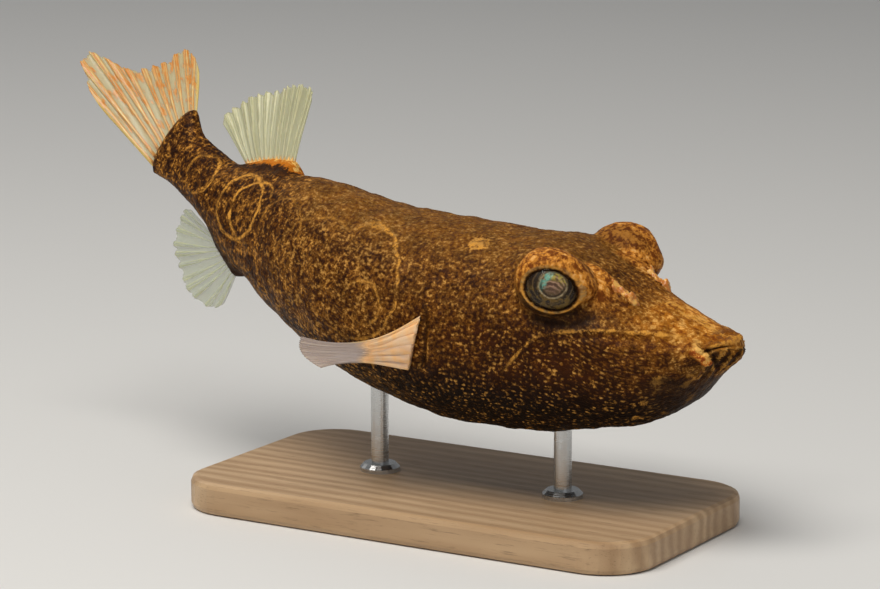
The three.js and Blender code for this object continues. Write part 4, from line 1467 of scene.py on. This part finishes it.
class PUFFER_OT_skin(bpy.types.Operator):
    """Builds the skin of the body, head and lips as one closed piece"""

    bl_idname = "puffer.skin"
    bl_label = "Skin"

    def execute(self, context):
        columns = context.scene.puffer_skin.columns
        stations = ring_stations()
        bm, ring, column = ball_grid(columns, len(stations))
        angle = np.arange(columns) / columns * 2 * np.pi
        station, angle = drawn_to_eyes(*np.meshgrid(stations, angle, indexing="ij"))
        plain = section_points(station, angle)
        shaped, share, lift = sculpted(plain)
        height = relief(shaped, share)
        raised = shaped + grid_normals(shaped) * height[..., None]
        masks = skin_masks(shaped, share, lift)
        masks["skin_map"] = unrolled(station, plain)

        first, last = ring == 0, ring == len(stations) + 1
        row = np.clip(ring - 1, 0, len(stations) - 1)

        def for_vertices(values):
            picked = values[row, column]
            picked[first] = values[0].mean(axis=0)
            picked[last] = values[-1].mean(axis=0)
            return picked

        places = BODY.placed(for_vertices(raised))
        attributes = {name: for_vertices(values) for name, values in masks.items()}
        nodes = ("head", "upper_lip", "lower_lip", "trunk", "tail")
        piece = make_piece("skin", bm, places, skin_material(), nodes, attributes)
        low = np.min([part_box(n)[0] for n in nodes], axis=0)
        high = np.max([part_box(n)[1] for n in nodes], axis=0)
        misfit = max(np.abs(places.min(0) - low).max(), np.abs(places.max(0) - high).max())
        if misfit > SKIN_MISFIT:
            raise RuntimeError(f"{piece.name} doesn't fill the space of the solids it stands for")
        return {"FINISHED"}


# ---- Eyes and nostrils ----


def iris_points(polar, around, pupil):
    """An eyeball, hollowed round the raised edge of its pupil, in the eye's frame."""
    off = EYE_RADIUS * np.sin(polar)
    hollow = 0.30 * bell(off, 1.15) + 0.10 * smooth((2.9 - off) / 0.6)
    raised = 0.07 * bell(off - pupil - 0.1, 0.13) + 0.02 * np.sin(off * 11) * smooth((off - 2) / 0.4)
    radius = EYE_RADIUS - 0.16 + np.where(polar < np.pi / 2, raised - hollow, 0)
    return radius[:, None] * direction(polar, around)


def cornea_points(polar, around):
    """A clear shell that swells over the pupil, rolled in at its edge and lined."""
    rolled = np.where(polar > CORNEA_EDGE, CORNEA_EDGE + (polar - CORNEA_EDGE) * 0.02, polar)
    outer = EYE_RADIUS + 0.03 + 0.22 * bell(polar, CORNEA_BULGE)
    lining_start = CORNEA_EDGE + 0.01
    back = CORNEA_EDGE * (1 - np.clip((polar - lining_start) / (np.pi - lining_start), 0, 1))
    inner = EYE_RADIUS - 0.1 + 0.2 * bell(back, CORNEA_BULGE)
    on_lining = polar > CORNEA_EDGE + 0.005
    lining, shell = inner[:, None] * direction(back, around), outer[:, None] * direction(rolled, around)
    return np.where(on_lining[:, None], lining, shell)


class PUFFER_OT_eyes(bpy.types.Operator):
    """Builds each eye: an iris with a raised pupil, under a clear cornea"""

    bl_idname = "puffer.eyes"
    bl_label = "Eyes"

    def execute(self, context):
        iris, cornea = eye_material(), cornea_material()
        pupil = context.scene.puffer_eyes.pupil_radius
        for word, side in (("right", -1), ("left", 1)):
            bm, polar, around = ball_angles(*EYE_GRID)
            local = iris_points(polar, around, pupil)
            places = BODY.placed(EYES[side].back_out(local))
            make_piece(f"eyeball_{word}", bm, places, iris, [f"eye_{word}"], {"eye_map": local})
            bm, polar, around = ball_angles(*EYE_GRID)
            local = cornea_points(polar, around)
            places = BODY.placed(EYES[side].back_out(local))
            make_piece(f"cornea_{word}", bm, places, cornea, (), {"eye_map": local})
        return {"FINISHED"}


def flap_points(polar, around, side):
    """The places of a nostril's flap, and its height above the flap's own middle."""
    unit = direction(polar, around)
    top = smooth(unit[:, 2] / 0.8)
    flap = unit * (1.9, 0.95, 0.8)
    front = bell(flap[:, 0] - 1.1, 0.5)
    middle = bell(flap[:, 0] + 0.05, 0.4)
    rear = bell(flap[:, 0] + 1.2, 0.45)
    knobs = 0.9 * front + 0.25 * middle + 0.8 * rear
    flap[:, 1] *= 0.6 + 0.4 * np.clip(knobs, 0, 1)
    flap[:, 2] += top * knobs
    flap[:, 1] += 0.12 * top * knobs
    flap += 0.13 * ripples(flap, 0.75, 5)[:, None] * unit
    lean = math.radians(24)
    back = flap[:, 0] + 0.15 * flap[:, 2]
    out = flap[:, 1] * math.cos(lean) + flap[:, 2] * math.sin(lean)
    up = flap[:, 2] * math.cos(lean) - flap[:, 1] * math.sin(lean) + 0.42 * flap[:, 0]
    return np.stack([back, side * out, up], -1) + NOSTRIL_CENTRE * (1, side, 1), flap[:, 2]


class PUFFER_OT_nostrils(bpy.types.Operator):
    """Builds the forked flap of skin beside each nostril"""

    bl_idname = "puffer.nostrils"
    bl_label = "Nostrils"

    def execute(self, context):
        material = nostril_material()
        for word, side in (("right", -1), ("left", 1)):
            bm, polar, around = ball_angles(*FLAP_GRID)
            points, height = flap_points(polar, around, side)
            masks = {"body_map": points, "flesh": smooth((0.55 - height) / 0.7)}
            name, node = f"nostril_flap_{word}", f"nostril_{word}"
            make_piece(name, bm, BODY.placed(points), material, [node], masks)
        return {"FINISHED"}


# ---- Fins ----


def median_ray(fin, share):
    """The rays of a median fin at shares of its base: foot, height, length and two angles."""
    share = np.clip(share, 0, 1)

    def between(ends, at):
        return ends[0] + (ends[1] - ends[0]) * at

    start, end = fin["base"]
    length = between(fin["length"], share)
    for place, width, extra in fin["lobes"]:
        length = length + extra * bell(share - place, width)
    length = length * (1 - fin["corner"] * (2 * share - 1) ** fin["sharpness"])
    lean = np.radians(between(fin["angle"], share ** fin["ease"]))
    aside = np.radians(between(fin["aside"], share) + fin["wave"] * np.sin(2 * np.pi * FIN_WAVES * share))
    return between((start[0], end[0]), share), between((start[1], end[1]), share), length, lean, aside


def median_surface(fin, count):
    """The middle surface of a median fin, as a function of the shares across and along it."""

    def surface(share, along):
        root, rise, length, out, left = median_ray(fin, share)
        ray = np.abs(np.sin(np.pi * uneven(share) * count))
        frayed = 0.95 + 0.035 * ray + 0.015 * np.sin(share * 61) * np.sin(share * 143 + 2)
        reach = (length * frayed + fin["inside"]) * along - fin["inside"]
        fold = fin["pleat"] * np.cos(2 * np.pi * uneven(share) * count) * smooth(along * 1.2)
        wave = 0.35 * np.sin(share * 7.0 + along * 2.4) * along**2
        back = root + reach * np.cos(left) * np.cos(out)
        aside = np.maximum(0, reach) * np.sin(left) + fold + wave
        return np.stack([back, aside, rise + reach * np.cos(left) * np.sin(out)], -1)

    return surface


def pectoral_surface(side):
    """The middle surface of a pectoral fin: a fan of rays that bend outward."""
    fin = PECTORAL_FIN

    def surface(share, along):
        s, t = share[..., None], along[..., None]
        root, middle, tip = (fin["top"][i] * (1 - s) + fin["bottom"][i] * s for i in range(3))
        reach = tip - middle
        bulge = fin["bulge"] * np.sin(np.pi * np.clip(s, 0, 1))
        tip = tip + reach / np.linalg.norm(reach, axis=-1, keepdims=True) * bulge
        control = 2 * middle - 0.5 * root - 0.5 * tip
        points = root * (1 - t) ** 2 + 2 * control * t * (1 - t) + tip * t**2
        pleats = 0.14 * np.cos(2 * np.pi * s * 14) * smooth((t - 0.35) * 2.5)
        root_folds = 0.09 * np.cos(2 * np.pi * s * 5.2) * bell(t - 0.12, 0.2)
        points = points + (pleats + root_folds) * np.array([0.1, 0.8, 0.3])
        points = points + 0.75 * bell(t, 0.35) * np.array([0.0, 1.0, 0.1])
        return points * (1, side, 1)

    return surface


def make_fin(name, node, fin, surface, count, material, masks):
    """Builds a fin about its middle surface, thicker along its rays."""
    bm, share, along, face = thin_blade(*fin["grid"])
    ray = ray_pattern(share, along, count, fin["ray_width"])
    middle = surface(share, along)
    normal = surface_normals(surface, share, along)
    root, web, spine = fin["halves"]
    thick = web + (spine - web) * ray * (1 - 0.55 * along) * smooth(along / 0.3)
    swelling = 0.2 + 0.8 * np.sin(np.pi * np.clip(share, 0, 1))
    thick = thick + root * bell(along, fin["root_reach"]) * swelling
    thick *= np.where(along > 0.995, 0.35, 1.0) * np.where((share < 0.002) | (share > 0.998), 0.5, 1.0)
    points = middle + normal * (face * thick)[:, None]
    attributes = {
        "ray": ray,
        "fin_map": np.stack([share, along, face * 0.5 + 0.5], -1),
        "body_map": middle,
        "margin": 0 * share,
        "shadow": 0 * share,
        **masks(share, along, count),
    }
    make_piece(name, bm, BODY.placed(points), material, [node], attributes)


def pectoral_masks(share, along, count):
    folds = smooth(0.7 + 0.6 * np.cos(share * 34 + 2 * np.sin(along * 9)))
    return {
        "flesh": smooth((0.60 + 0.03 * np.sin(share * 9) - along) / 0.24),
        "margin": smooth((0.07 - share) / 0.06) * smooth((0.7 - along) / 0.3),
        "shadow": bell(along - 0.16, 0.16) * smooth((share - 0.2) / 0.4) * folds,
    }


def dorsal_masks(share, along, count):
    return {"flesh": smooth((0.27 + 0.03 * np.cos(2 * np.pi * share * count) - along) / 0.1)}


def anal_masks(share, along, count):
    return {"flesh": smooth((0.30 - along) / 0.1)}


def caudal_masks(share, along, count):
    return {
        "flesh": smooth((0.2 - 0.03 * np.cos(2 * np.pi * share * count) - along) / 0.13),
        "margin": np.maximum(smooth((0.045 - share) / 0.03), smooth((share - 0.955) / 0.03)),
    }


class PUFFER_OT_pectoral_fins(bpy.types.Operator):
    """Builds the two pectoral fins, fleshy at the root and clear at the tip"""

    bl_idname = "puffer.pectoral_fins"
    bl_label = "Pectoral fins"

    def execute(self, context):
        count = context.scene.puffer_fins.pectoral_rays
        material = fin_material(
            "Pectoral fin",
            web=(0.47, 0.37, 0.32),
            spine=(0.78, 0.64, 0.50),
            stripe=(0.26, 0.17, 0.15),
            stripes=0.2,
            cover=(0.62, 0.9),
            flesh=((0.92, 0.50, 0.19), (0.85, 0.56, 0.33)),
            edge=(0.95, 0.62, 0.18),
        )
        for word, side in (("right", -1), ("left", 1)):
            name, node, surface = f"pectoral_{word}", f"pectoral_fin_{word}", pectoral_surface(side)
            make_fin(name, node, PECTORAL_FIN, surface, count, material, pectoral_masks)
        return {"FINISHED"}


class PUFFER_OT_median_fins(bpy.types.Operator):
    """Builds the dorsal, anal and tail fins"""

    bl_idname = "puffer.median_fins"
    bl_label = "Dorsal, anal and tail fins"

    def execute(self, context):
        fins = context.scene.puffer_fins
        shared = {"stripe": fins.stripe, "edge": (0.70, 0.50, 0.14)}
        dorsal = fin_material(
            "Dorsal fin",
            web=fins.web,
            spine=fins.spine,
            stripes=0.0,
            cover=(0.5, 0.75),
            flesh=((0.46, 0.16, 0.012), (0.92, 0.58, 0.2)),
            **shared,
        )
        anal = fin_material(
            "Anal fin",
            web=(0.33, 0.37, 0.21),
            spine=(0.48, 0.50, 0.28),
            stripes=0.0,
            cover=(0.3, 0.55),
            flesh=(fins.flesh_dark, fins.flesh_dark),
            **shared,
        )
        caudal = fin_material(
            "Tail fin",
            web=(0.56, 0.47, 0.22),
            spine=(0.80, 0.60, 0.25),
            stripes=0.95,
            cover=(0.5, 0.9),
            flesh=(fins.flesh_dark, fins.flesh_light),
            **shared,
        )
        for name, fin, count, material, masks in (
            ("dorsal", DORSAL_FIN, fins.dorsal_rays, dorsal, dorsal_masks),
            ("anal", ANAL_FIN, fins.anal_rays, anal, anal_masks),
            ("caudal", CAUDAL_FIN, fins.caudal_rays, caudal, caudal_masks),
        ):
            surface = median_surface(fin, count)
            make_fin(name, f"{name}_fin", fin, surface, count, material, masks)
        return {"FINISHED"}


# ---- Stand and stage ----


class PUFFER_OT_stand(bpy.types.Operator):
    """Gives the solid model's stand its wood and steel"""

    bl_idname = "puffer.stand"
    bl_label = "Stand finish"

    def execute(self, context):
        finishes = {"stand_base": wood_material}
        finishes.update({"stand_rod_front": steel_material, "stand_rod_rear": steel_material})
        for node, make_material in finishes.items():
            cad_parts[node].material_slots[0].material = make_material()
        return {"FINISHED"}


def add_light(name, place, aim, size, power, colour):
    """A soft rectangular light that faces its aim."""
    light = bpy.data.lights.new(name, "AREA")
    light.shape = "RECTANGLE"
    light.size, light.size_y = size
    light.energy, light.color = power, colour
    lamp = bpy.data.objects.new(name, light)
    bpy.context.collection.objects.link(lamp)
    lamp.location = place
    lamp.rotation_euler = (Vector(aim) - Vector(place)).to_track_quat("-Z", "Y").to_euler()


def make_floor(colour):
    """A wide studio floor that isn't part of the model."""
    material, tree, shader = new_material("Studio floor", Roughness=0.75)
    tone = tree.noise(tree.node("TexCoord").outputs["Object"], 3.0, 2.0)
    tree.put(shader.inputs["Base Color"], tree.blend(tone, darker(colour, 0.97), tuple(colour)))
    bm = bmesh.new()
    bmesh.ops.create_grid(bm, x_segments=4, y_segments=4, size=4.0)
    mesh = bpy.data.meshes.new("floor")
    bm.to_mesh(mesh)
    bm.free()
    mesh.materials.append(material)
    floor = bpy.data.objects.new("floor", mesh)
    bpy.context.collection.objects.link(floor)


class PUFFER_OT_stage(bpy.types.Operator):
    """Builds the floor, the lights and the camera"""

    bl_idname = "puffer.stage"
    bl_label = "Stage"

    def execute(self, context):
        stage = context.scene.puffer_stage
        make_floor(stage.floor)

        a, e = stage.azimuth, stage.elevation
        right = Vector((math.cos(a), math.sin(a), 0))
        back = Vector((math.sin(a) * math.cos(e), -math.cos(a) * math.cos(e), math.sin(e)))
        up = back.cross(right)
        camera = bpy.data.objects.new("camera", bpy.data.cameras.new("camera"))
        context.collection.objects.link(camera)
        place = SNOUT * MM - right * stage.across + up * stage.above + back * stage.distance
        turned = Matrix((right, up, back)).transposed().to_4x4()
        camera.matrix_world = Matrix.Translation(place) @ turned
        camera.data.lens = stage.lens
        camera.data.sensor_width = 36
        camera.data.clip_start, camera.data.clip_end = 0.01, 20
        context.scene.camera = camera

        world = bpy.data.worlds.new("studio")
        world.use_nodes = True
        sky = world.node_tree.nodes["Background"].inputs
        sky["Color"].default_value = (0.97, 0.985, 1.0, 1)
        sky["Strength"].default_value = stage.sky
        context.scene.world = world
        low, high = CAD_BOX
        aim = (low + high) / 2
        above = 0.45 * Vector((0, 0, 1)) + 0.225 * back - 0.125 * right
        beside = 0.6 * back + 0.48 * right + 0.15 * up
        behind = 0.495 * up - 0.44 * back - 0.33 * right
        add_light("key", aim + above, aim, (0.42, 0.3), stage.key, (1.0, 0.965, 0.91))
        add_light("fill", aim + beside, aim, (0.5, 0.4), stage.fill, (0.95, 0.97, 1.0))
        add_light("back", aim + behind, aim, (0.4, 0.25), stage.fill, (1.0, 0.98, 0.95))
        context.scene.view_settings.view_transform = "Standard"
        return {"FINISHED"}


# ---- Panel and registration ----

STEPS = (
    PUFFER_OT_stage,
    PUFFER_OT_skin,
    PUFFER_OT_eyes,
    PUFFER_OT_nostrils,
    PUFFER_OT_pectoral_fins,
    PUFFER_OT_median_fins,
    PUFFER_OT_stand,
)
SETTINGS = {
    "puffer_skin": PufferSkinSettings,
    "puffer_eyes": PufferEyeSettings,
    "puffer_fins": PufferFinSettings,
    "puffer_stand": PufferStandSettings,
    "puffer_stage": PufferStageSettings,
}


class PUFFER_PT_panel(bpy.types.Panel):
    """Lists the pieces and their settings"""

    bl_idname = "PUFFER_PT_panel"
    bl_label = "Pufferfish"
    bl_space_type = "VIEW_3D"
    bl_region_type = "UI"
    bl_category = "Pufferfish"

    def draw(self, context):
        for step in STEPS:
            self.layout.operator(step.bl_idname)
        for name, kind in SETTINGS.items():
            box = self.layout.box()
            for key in kind.__annotations__:
                box.prop(getattr(context.scene, name), key)


CLASSES = (*SETTINGS.values(), *STEPS, PUFFER_PT_panel)


def register():
    for kind in CLASSES:
        bpy.utils.register_class(kind)
    for name, kind in SETTINGS.items():
        setattr(bpy.types.Scene, name, bpy.props.PointerProperty(type=kind))


def unregister():
    for name in SETTINGS:
        delattr(bpy.types.Scene, name)
    for kind in reversed(CLASSES):
        bpy.utils.unregister_class(kind)


def main():
    register()
    for step in STEPS:
        group, name = step.bl_idname.split(".")
        getattr(getattr(bpy.ops, group), name)()


if __name__ == "__main__":
    main()
